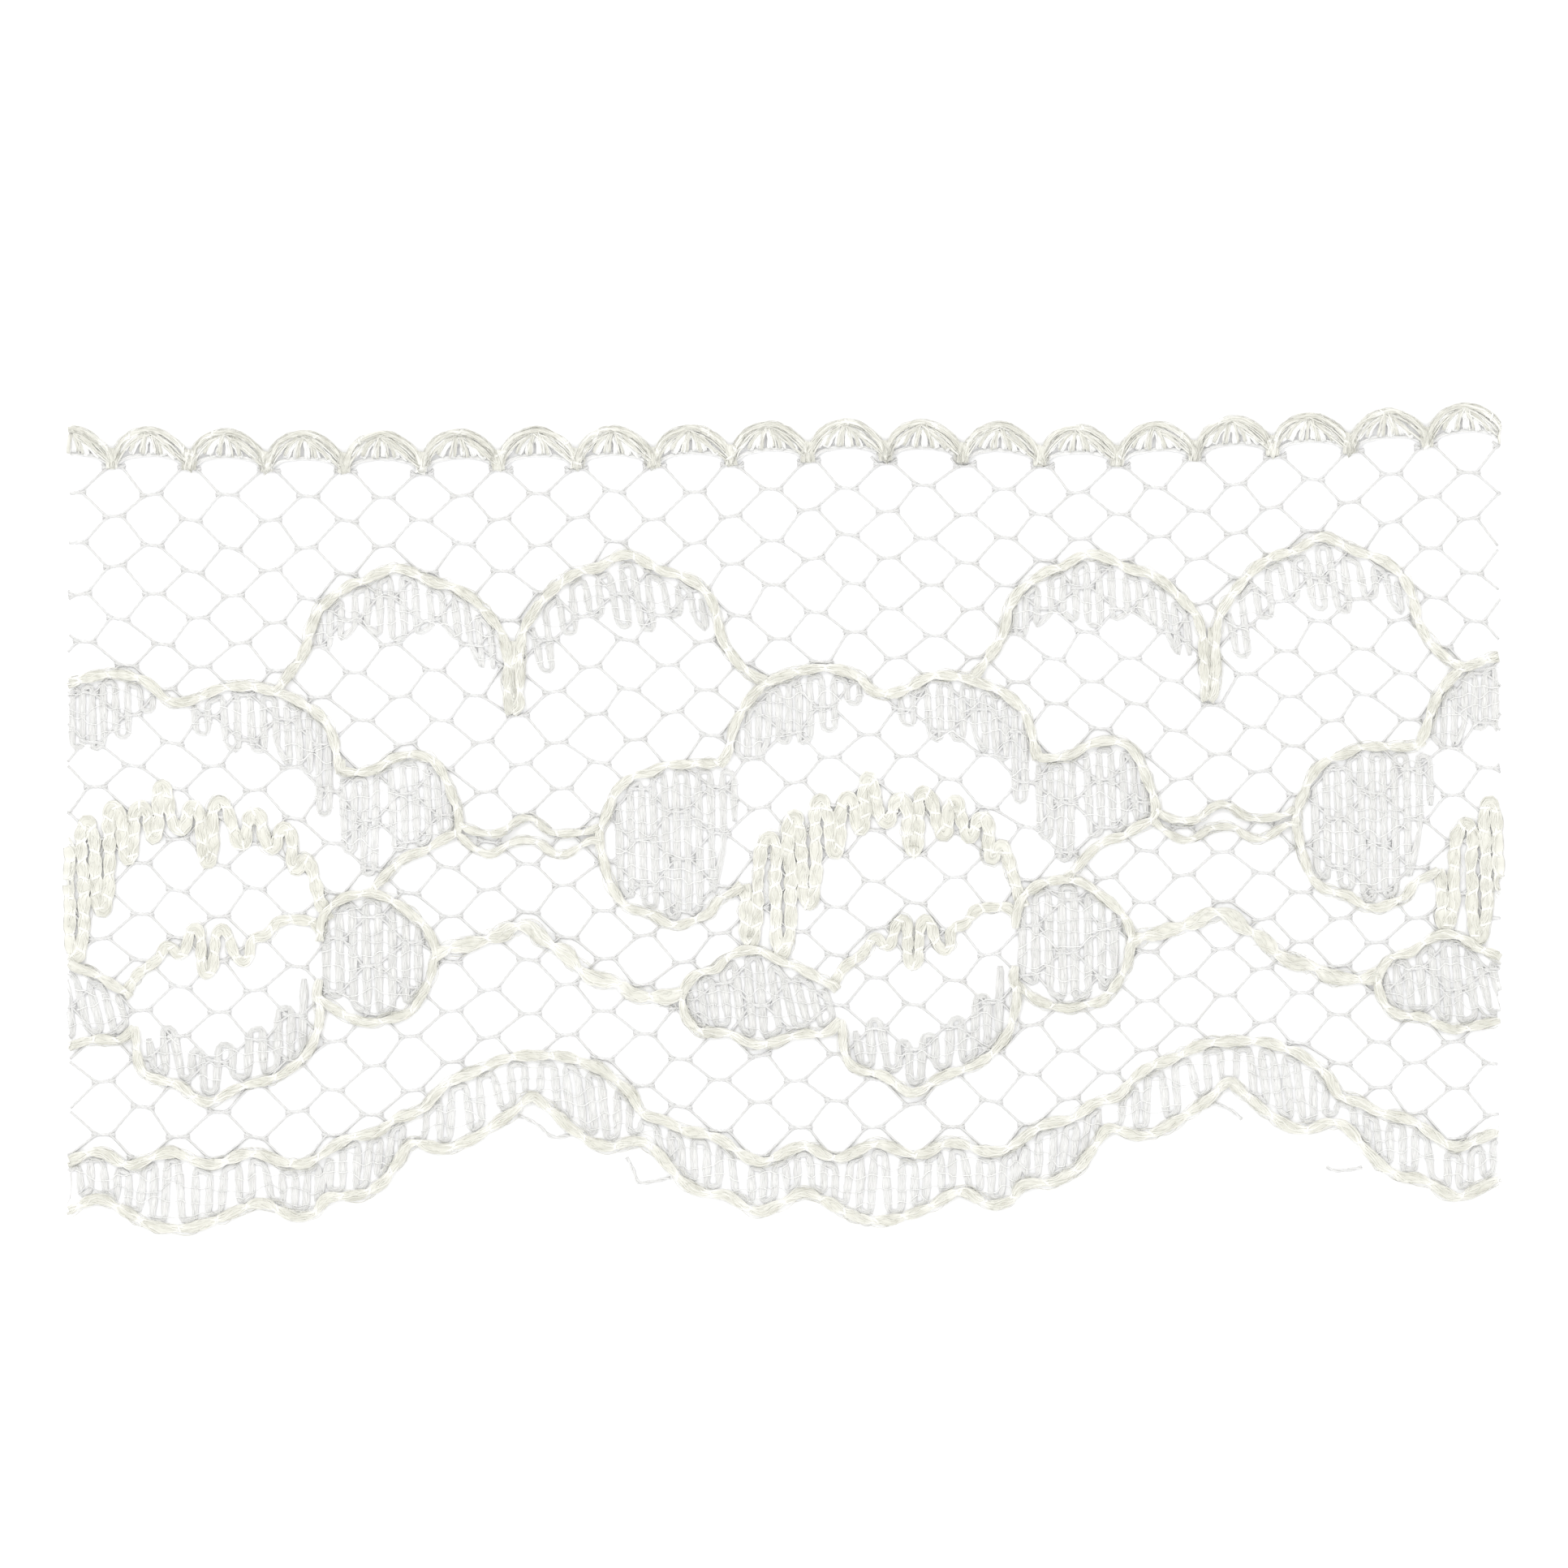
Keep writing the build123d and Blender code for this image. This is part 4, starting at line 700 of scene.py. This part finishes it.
def ground(hem_line, fillings):
    """the hexagonal net, and the ground threads that run on across the filled motifs"""
    rnd = random.Random(NET_SEED)
    tubes = Tubes()
    nudge = {}

    def link(column, row):
        """the two ends of a link, a little uneven"""
        if (column, row) not in nudge:
            nudge[column, row] = [rnd.uniform(-most, most) for most in (UNEVEN_X, UNEVEN_Y, UNEVEN_TILT)]
        dx, dy, tilt = nudge[column, row]
        x = FIRST_LINK_X + column * COLUMN + dx
        y = LINK_Y - (row + column % 2 / 2) * ROW + dy
        return np.array([x - LINK_HALF, y - tilt]), np.array([x + LINK_HALF, y + tilt])

    def thread(points, reach, tone):
        """a ground thread, cut where the net ends"""
        path = rounded(points, reach, NET_STEP)
        flat = net_point(path[:, :2])
        x = flat[:, 0]
        y = flat[:, 1]
        keep = (x > NET_MARGIN) & (x < LENGTH - NET_MARGIN)
        keep &= (y > line_at(hem_line, x)) & (y < NET_TOP_LINE + station(HEADING_RISE, x))
        for a, b in pieces_inside(keep):
            if b - a > 2:
                centres = np.column_stack([flat[a:b], path[a:b, 2]])
                tubes.add(centres, THREAD / 2, tone + TONE_SPREAD * rnd.random(), NET_SIDES)

    for column in NET_COLUMNS:
        for row in NET_ROWS:
            a, b = link(column, row)
            for turn in (-1, 1):
                path = []
                for t, aside, up in zip(TWIST_AT, TWIST_ASIDE, TWIST_UP):
                    x, y = a + (b - a) * t
                    path.append((x, y + turn * TWIST_WIDTH * aside, NET_Z + turn * TWIST_HEIGHT * up))
                thread(path, TWIST_CORNER, LINK_TONE)
            for step in (-1, 0):
                c = link(column + 1, row + step + column % 2)[0]
                up = SLANT_RISE if step else -SLANT_RISE
                path = [b - [SLANT_OVERLAP, 0], b + [-SLANT_BEND, up], c + [SLANT_BEND, -up],
                        c + [SLANT_OVERLAP, 0]]
                thread([(*p, NET_Z) for p in path], SLANT_CORNER, SLANT_TONE)
    for passes in fillings:
        for level in np.arange(CROSS_FROM, CROSS_TO, CROSS_GAP):
            meet = []
            for top, low in zip(passes[::2], passes[1::2]):
                if min(top[1], low[1]) + CROSS_INSIDE < level < max(top[1], low[1]) - CROSS_INSIDE:
                    share = (level - low[1]) / (top[1] - low[1])
                    meet.append(low[0] + share * (top[0] - low[0]))
            meet = sorted(x for x in meet if CROSS_MARGIN < x < LENGTH - CROSS_MARGIN)
            run = []
            for x in meet + [math.inf]:
                if run and x - run[-1][0] > CROSS_BREAK:
                    if len(run) > 1:
                        ground_run(tubes, rnd, run)
                    run = []
                if x < math.inf:
                    run.append((x, level + rnd.uniform(-CROSS_UNEVEN, CROSS_UNEVEN), CROSS_Z))
    return tubes.mesh("ground_net_threads")


def ground_run(tubes, rnd, run):
    """a ground thread over the passes of a filling, dipping between them"""

    def end(at, way):
        """where the thread ends, a little past a pass"""
        return at[0] + way * CROSS_END, at[1] + rnd.uniform(-CROSS_END_UNEVEN, CROSS_END_UNEVEN), CROSS_END_Z

    path = [end(run[0], -1)]
    for a, b in zip(run, run[1:]):
        dip = (a[1] + b[1]) / 2 + rnd.uniform(-CROSS_DIP_UNEVEN, CROSS_DIP_UNEVEN)
        path += [a, ((a[0] + b[0]) / 2, dip, CROSS_DIP_Z)]
    path += [run[-1], end(run[-1], 1)]
    tubes.add(rounded(path, CROSS_CORNER, CROSS_STEP), CROSS_RADIUS, rnd.uniform(*CROSS_TONES), FINE_SIDES)


# ---------------------------------------------------------------- materials

def nodes_of(name):
    """a new material's nodes, links and shader"""
    mat = bpy.data.materials.new(name)
    mat.use_nodes = True
    tree = mat.node_tree
    return mat, tree.nodes, tree.links, tree.nodes["Principled BSDF"]


def mix(nodes, links, factor, a, b):
    """a colour mix; a and b are sockets or colours"""
    node = nodes.new("ShaderNodeMix")
    node.data_type = "RGBA"
    links.new(factor, node.inputs["Factor"])
    for socket, value in ((node.inputs[6], a), (node.inputs[7], b)):
        if isinstance(value, tuple):
            socket.default_value = (*value, 1)
        else:
            links.new(value, socket)
    return node.outputs[2]


def noise(nodes, links, where, scale, detail, low, high):
    """noise in the row frame, stretched from low..high to 0..1"""
    node = nodes.new("ShaderNodeTexNoise")
    node.inputs["Scale"].default_value = scale
    node.inputs["Detail"].default_value = detail
    links.new(where, node.inputs["Vector"])
    span = nodes.new("ShaderNodeMapRange")
    span.inputs["From Min"].default_value = low
    span.inputs["From Max"].default_value = high
    links.new(node.outputs["Fac"], span.inputs["Value"])
    return span.outputs["Result"]


def fact(nodes, name):
    """what a strand says of itself at a point: along, around or tone"""
    node = nodes.new("ShaderNodeAttribute")
    node.attribute_name = name
    return node.outputs["Fac"]


def math_node(nodes, links, kind, a, b):
    """one sum of two sockets or numbers"""
    node = nodes.new("ShaderNodeMath")
    node.operation = kind
    for socket, value in zip(node.inputs, (a, b)):
        if isinstance(value, (int, float)):
            socket.default_value = value
        else:
            links.new(value, socket)
    return node.outputs[0]


SLOW_SCALE = 330
PATCH_SCALE = 1500
GRAIN_SCALE = 9000
STAIN_SHARE = 0.55
PATCH_SHARE = 0.35
RELIEF = 0.35
RELIEF_DEPTH = 0.03 * MM
ROUGHNESS_SPREAD = 0.16


def yarn_material(name, light, shade, stain, sheen, ply, rough):
    """spun yarn: paler and darker strands, slow staining, filaments wound round each strand"""
    mat, nodes, links, shader = nodes_of(name)
    where = nodes.new("ShaderNodeTexCoord").outputs["Object"]
    slow = noise(nodes, links, where, SLOW_SCALE, 3, 0.36, 0.66)
    patch = noise(nodes, links, where, PATCH_SCALE, 4, 0.35, 0.7)
    tone = fact(nodes, "tone")
    strand = mix(nodes, links, tone, shade, light)
    colour = mix(nodes, links, math_node(nodes, links, "MULTIPLY", slow, STAIN_SHARE), strand, stain)
    colour = mix(nodes, links, math_node(nodes, links, "MULTIPLY", patch, PATCH_SHARE), colour, light)
    colour = mix(nodes, links, math_node(nodes, links, "SUBTRACT", tone, 1.0), colour, WHITE_THREAD)
    links.new(colour, shader.inputs["Base Color"])
    wound = math_node(nodes, links, "ADD", math_node(nodes, links, "MULTIPLY", fact(nodes, "along"), ply),
                      math_node(nodes, links, "MULTIPLY", fact(nodes, "around"), 3))
    groove = math_node(nodes, links, "SINE", wound, 0.0)
    grain = noise(nodes, links, where, GRAIN_SCALE, 3, 0.3, 0.7)
    relief = math_node(nodes, links, "ADD", groove, grain)
    bump = nodes.new("ShaderNodeBump")
    bump.inputs["Strength"].default_value = RELIEF
    bump.inputs["Distance"].default_value = RELIEF_DEPTH
    links.new(relief, bump.inputs["Height"])
    links.new(bump.outputs["Normal"], shader.inputs["Normal"])
    roughness = math_node(nodes, links, "MULTIPLY_ADD", grain, ROUGHNESS_SPREAD)
    roughness.node.inputs[2].default_value = rough
    links.new(roughness, shader.inputs["Roughness"])
    shader.inputs["Sheen Weight"].default_value = sheen
    shader.inputs["Sheen Roughness"].default_value = 0.45
    shader.inputs["Specular IOR Level"].default_value = 0.35
    return mat


# slot: light, shaded and stained colour, sheen, winding along the strand, roughness
YARNS = {
    "net_thread": ((0.74, 0.74, 0.735), (0.62, 0.62, 0.61), (0.64, 0.636, 0.615), 0.1, 12, 0.5),
    "outline_cord": ((0.79, 0.785, 0.735), (0.59, 0.585, 0.525), (0.64, 0.634, 0.565), 0.15, 9, 0.55),
    "cloth_rib": ((0.80, 0.80, 0.79), (0.67, 0.67, 0.655), (0.71, 0.706, 0.685), 0.15, 10, 0.55),
    "rose_yarn": ((0.78, 0.775, 0.72), (0.60, 0.595, 0.535), (0.65, 0.644, 0.575), 0.15, 9, 0.55),
}
MATERIALS = {slot: yarn_material(slot + "_mat", *look) for slot, look in YARNS.items()}


def dress(ob, slot, *names):
    """the piece rides on the body, stands for its CAD nodes and takes its slot's material"""
    ob.data.materials.append(MATERIALS[slot])
    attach(ob, "root")
    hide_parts(*names)
    return ob


# ---------------------------------------------------------------- the pieces

def zigzag(passes):
    """the route of a filling yarn that goes down one pass and up the next"""
    route = []
    for i, (xt, yt, xb, yb) in enumerate(passes):
        ends = [(xt, yt), (xb, yb)]
        route += ends if i % 2 == 0 else ends[::-1]
    return route


def in_sight(points):
    """whether any of the route lies between the cut ends"""
    return bool(np.any((points[:, 0] > SIGHT_MARGIN) & (points[:, 0] < LENGTH - SIGHT_MARGIN)))


CORD = dict(width=0.7, height=0.24, pinch=0.55)
THIN = dict(width=0.66, height=0.24, strands=12, pinch=0.55)
STEM = dict(width=1.02, height=0.26, strands=15, tie=2.3, pinch=0.68)
LOOP = dict(width=0.56, strands=9, pinch=0.6, height=0.3, tie=1.6)
ROSE = dict(width=0.88, strands=12, height=0.17, z=0.2, tie=1.2, pinch=0.38, reach=0.4, step=0.16, fuzz=1.6)
FILL = dict(width=0.5, height=0.2, z=0.26, strands=9, pinch=0.3, fuzz=9)
HEM = dict(width=0.74, height=0.25, tie=2.2, pinch=0.6)
HEADING = dict(width=0.38, strands=9, height=0.26, tie=4.76, pinch=0.1, reach=0.5, step=0.2, fuzz=0.2)
KNOT = dict(width=0.85, strands=12, height=0.34, z=0.3, tie=3, pinch=0.25, step=0.15, fuzz=0.3)

# looks of the heading's stitches and loose sweeping strands
DARK_WIDTHS = (0.24, 0.4)
DARK_STITCH = dict(strands=4, reach=0.5, step=0.2, z=0.36)
FAN_WIDTH = 0.6
FAN_SPREAD = 0.1
FAN_STITCH = dict(reach=0.5, step=0.2, z=0.3, bright=1.1)
BOTTOM_THREAD = dict(width=0.34, strands=5, reach=0.6, step=0.25, z=0.16, bright=0.6)
SWEEP_STRANDS = 3
SWEEP_Z = 0.36
SWEEP_WAVE = (0.08, 2)
SWEEP_RADIUS = 0.05
SWEEP_TONE = 0.3
SWEEP_SPREAD = 1.1

# what each cord follows and how it looks
CORDS = {
    "cloud_cord": (CLOUD_CORD, CORD),
    "arch_cord_left": (ARCH_CORD_LEFT, CORD),
    "arch_cord_right": (ARCH_CORD_RIGHT, CORD),
    "small_petal_cord": (SMALL_PETAL_CORD, THIN),
    "large_petal_cord": (LARGE_PETAL_CORD, THIN),
    "round_leaf_cord": (ROUND_LEAF_CORD, THIN),
    "left_leaf_cord": (LEFT_LEAF_CORD, THIN),
    "crescent_cord": (CRESCENT_CORD, THIN),
    "wave_stem": (WAVE_STEM, STEM),
    "loop_stem_upper": (LOOP_STEM_UPPER, LOOP),
    "loop_stem_lower": (LOOP_STEM_LOWER, LOOP),
    "ring_yarn": (RING_YARN, ROSE),
    "sprig_yarn": (SPRIG_YARN, dict(ROSE, width=0.74)),
}
FILLINGS = {
    "arch_ribs_left": [zigzag(ARCH_RIBS_LEFT)],
    "arch_ribs_right": [zigzag(ARCH_RIBS_RIGHT)],
    "cloud_ribs": [zigzag(CLOUD_RIBS_LEFT), zigzag(CLOUD_RIBS_RIGHT)],
    "small_petal_ribs": [zigzag(SMALL_PETAL_RIBS)],
    "large_petal_ribs": [zigzag(LARGE_PETAL_RIBS)],
    "round_leaf_ribs": [zigzag(ROUND_LEAF_RIBS)],
    "left_leaf_ribs": [zigzag(LEFT_LEAF_RIBS)],
    "crescent_ribs": [zigzag(CRESCENT_RIBS)],
}
# width and tone of the fillings that are wider and darker than the others
FILLING_LOOKS = {
    "round_leaf_ribs": (0.52, -0.25),
    "left_leaf_ribs": (0.52, -0.3),
    "crescent_ribs": (0.55, -0.3),
}


def motifs():
    """every motif's outline cords and filling yarns, in each repeat; also the fillings' routes"""
    made = []
    laid_fillings = []
    for repeat in REPEATS:
        for k, (name, (points, look)) in enumerate(CORDS.items()):
            before, after = JOINS[name]
            route = lay(before + points + after, repeat)
            if in_sight(route):
                tubes = Tubes()
                rnd = random.Random(MOTIF_SEED + SEED_PER_REPEAT * repeat + SEED_PER_MOTIF * k)
                cord(tubes, rnd, route, **look)
                if name == "arch_cord_left":
                    cord(tubes, rnd, lay(STEM_FILL, repeat), **FILL)
                node = f"{name}_{repeat + 2}"
                slot = "rose_yarn" if name in ("ring_yarn", "sprig_yarn") else "outline_cord"
                made.append(dress(tubes.mesh(node + "_strands"), slot, node))
        for k, (name, routes) in enumerate(FILLINGS.items()):
            laid = [lay(points, repeat) for points in routes]
            laid = [route for route in laid if in_sight(route)]
            if laid:
                tubes = Tubes()
                rnd = random.Random(FILLING_SEED + SEED_PER_REPEAT * repeat + SEED_PER_MOTIF * k)
                width, bright = FILLING_LOOKS.get(name, (FILLING_WIDTH, 0.0))
                for route in laid:
                    flat_yarn(tubes, rnd, route, width, bright=bright)
                laid_fillings += laid
                node = f"{name}_{repeat + 2}"
                made.append(dress(tubes.mesh(node + "_filaments"), "cloth_rib", node))
    return made, laid_fillings


def hem():
    """the hem band over the whole length"""
    upper = np.concatenate([lay(HEM_UPPER, repeat) for repeat in REPEATS])
    lower = np.concatenate([lay(HEM_LOWER, repeat) for repeat in REPEATS])
    passes = np.concatenate([lay(zigzag(HEM_RIBS), repeat) for repeat in REPEATS])
    made = []
    edges = (("hem_cord_upper", upper, HEM_UPPER_SEED), ("hem_cord_lower", lower, HEM_LOWER_SEED))
    for name, route, seed in edges:
        tubes = Tubes()
        cord(tubes, random.Random(seed), route, **HEM)
        made.append(dress(tubes.mesh(name + "_strands"), "outline_cord", name))
    tubes = Tubes()
    flat_yarn(tubes, random.Random(HEM_RIBS_SEED), passes, HEM_FILLING_WIDTH)
    made.append(dress(tubes.mesh("hem_ribs_filaments"), "cloth_rib", "hem_ribs"))
    return made, upper, passes


def scallops(points):
    """points round a scallop's tip, over all the scallops"""
    out = []
    for k in SCALLOPS:
        tip = FIRST_TIP + k * SCALLOP
        p = np.array(points, float)
        p[:, 0] += tip
        p[:, 1] += station(HEADING_RISE, p[:, 0])
        out.append(p)
    return out


def nudged(rnd, points, x, y):
    """points moved together by up to x and y"""
    return points + [rnd.uniform(-x, x), rnd.uniform(-y, y)]


def heading():
    """the scalloped heading: outline, sweeping strands, knots, fan stitches and bottom thread"""
    tubes = Tubes()
    rnd = random.Random(HEADING_SEED)
    cord(tubes, rnd, np.concatenate(scallops(SCALLOP_CORD)), **HEADING)
    for knot in scallops(SCALLOP_KNOT):
        cord(tubes, rnd, knot, **KNOT)
    for points in SCALLOP_SWEEPS:
        for sweep in scallops(points):
            for _ in range(SWEEP_STRANDS):
                path = rounded(nudged(rnd, sweep, 0.12, 0.12), 1.0, 0.25)
                lift = SWEEP_Z + wander(rnd, lengths(path), *SWEEP_WAVE)
                tone = SWEEP_TONE + SWEEP_SPREAD * rnd.random()
                put(tubes, rnd, np.column_stack([path, lift]), SWEEP_RADIUS, tone, FINE_SIDES)
    for points in SCALLOP_DARK:
        for rib in scallops(points):
            flat_yarn(tubes, rnd, nudged(rnd, rib, 0.14, 0.06), rnd.uniform(*DARK_WIDTHS), **DARK_STITCH)
    cords = dress(tubes.mesh("heading_cord_strands"), "outline_cord", "heading_cord")
    tubes = Tubes()
    for points in SCALLOP_FAN:
        for rib in scallops(points):
            stitch = nudged(rnd, rib, 0.1, 0.08)
            flat_yarn(tubes, rnd, stitch, FAN_WIDTH + rnd.uniform(-FAN_SPREAD, FAN_SPREAD), **FAN_STITCH)
    for base in scallops(SCALLOP_FLOOR):
        flat_yarn(tubes, rnd, base, **BOTTOM_THREAD)
    return [cords, dress(tubes.mesh("heading_ribs_filaments"), "cloth_rib", "heading_ribs")]


def snippets():
    """cut ends of ground thread under the hem"""
    made = []
    for i, points in enumerate(CUT_THREADS):
        tubes = Tubes()
        rnd = random.Random(SNIPPET_SEED + i)
        path = rounded(points, 0.8, 0.15)
        angle = lengths(path) * SNIPPET_TWIST
        for turn in (-1, 1):
            aside = turn * SNIPPET_HALF_WIDTH * np.cos(angle)
            up = turn * SNIPPET_HALF_HEIGHT * np.sin(angle)
            centres = np.column_stack([path + beside(path) * aside[:, None], NET_Z + up])
            tubes.add(centres, SNIPPET_RADIUS, rnd.random())
        name = f"cut_thread_{i + 1}"
        made.append(dress(tubes.mesh(name + "_twist"), "net_thread", name))
    return made


yarns, fillings = motifs()
band, hem_line, hem_passes = hem()
yarns += band + heading() + snippets()
net = dress(ground(hem_line, fillings + [hem_passes]), "net_thread", "ground_net")

# ---------------------------------------------------------------- floor, light and camera

FLOOR_SIDE = 3.0
FLOOR_DROP = 0.02 * MM
SKY_STRENGTH = 1.35
LAMP_SIZE = 0.5
LAMP_ENERGY = 1.5
LAMP_PLACE = (-0.35, 0.45, 0.75)
LAMP_TURN = (-0.54, -0.44, 0)
CAMERA_UP = 2.115 * MM
VIEW_WIDTH = 96.6 * MM
LENS = 200.0
SENSOR = 36.0

bpy.ops.mesh.primitive_plane_add(size=FLOOR_SIDE, location=(0, 0, -FLOOR_DROP))
floor = bpy.context.object
floor.name = "floor"
paper, _, _, shader = nodes_of("paper_mat")
shader.inputs["Base Color"].default_value = (0.93, 0.93, 0.935, 1)
shader.inputs["Roughness"].default_value = 0.9
shader.inputs["Specular IOR Level"].default_value = 0.1
floor.data.materials.append(paper)

scene = bpy.context.scene
scene.view_settings.view_transform = "Standard"
world = bpy.data.worlds.new("studio")
world.use_nodes = True
sky = world.node_tree.nodes["Background"]
sky.inputs["Color"].default_value = (1, 1, 1, 1)
sky.inputs["Strength"].default_value = SKY_STRENGTH
scene.world = world

lamp = bpy.data.lights.new("soft_box", "AREA")
lamp.shape = "DISK"
lamp.size = LAMP_SIZE
lamp.energy = LAMP_ENERGY
key = bpy.data.objects.new("soft_box", lamp)
key.location = LAMP_PLACE
key.rotation_euler = LAMP_TURN
scene.collection.objects.link(key)

camera = bpy.data.cameras.new("camera")
camera.lens = LENS
camera.sensor_width = SENSOR
eye = bpy.data.objects.new("camera", camera)
eye.location = (0, CAMERA_UP, VIEW_WIDTH * LENS / SENSOR)
scene.collection.objects.link(eye)
scene.camera = eye
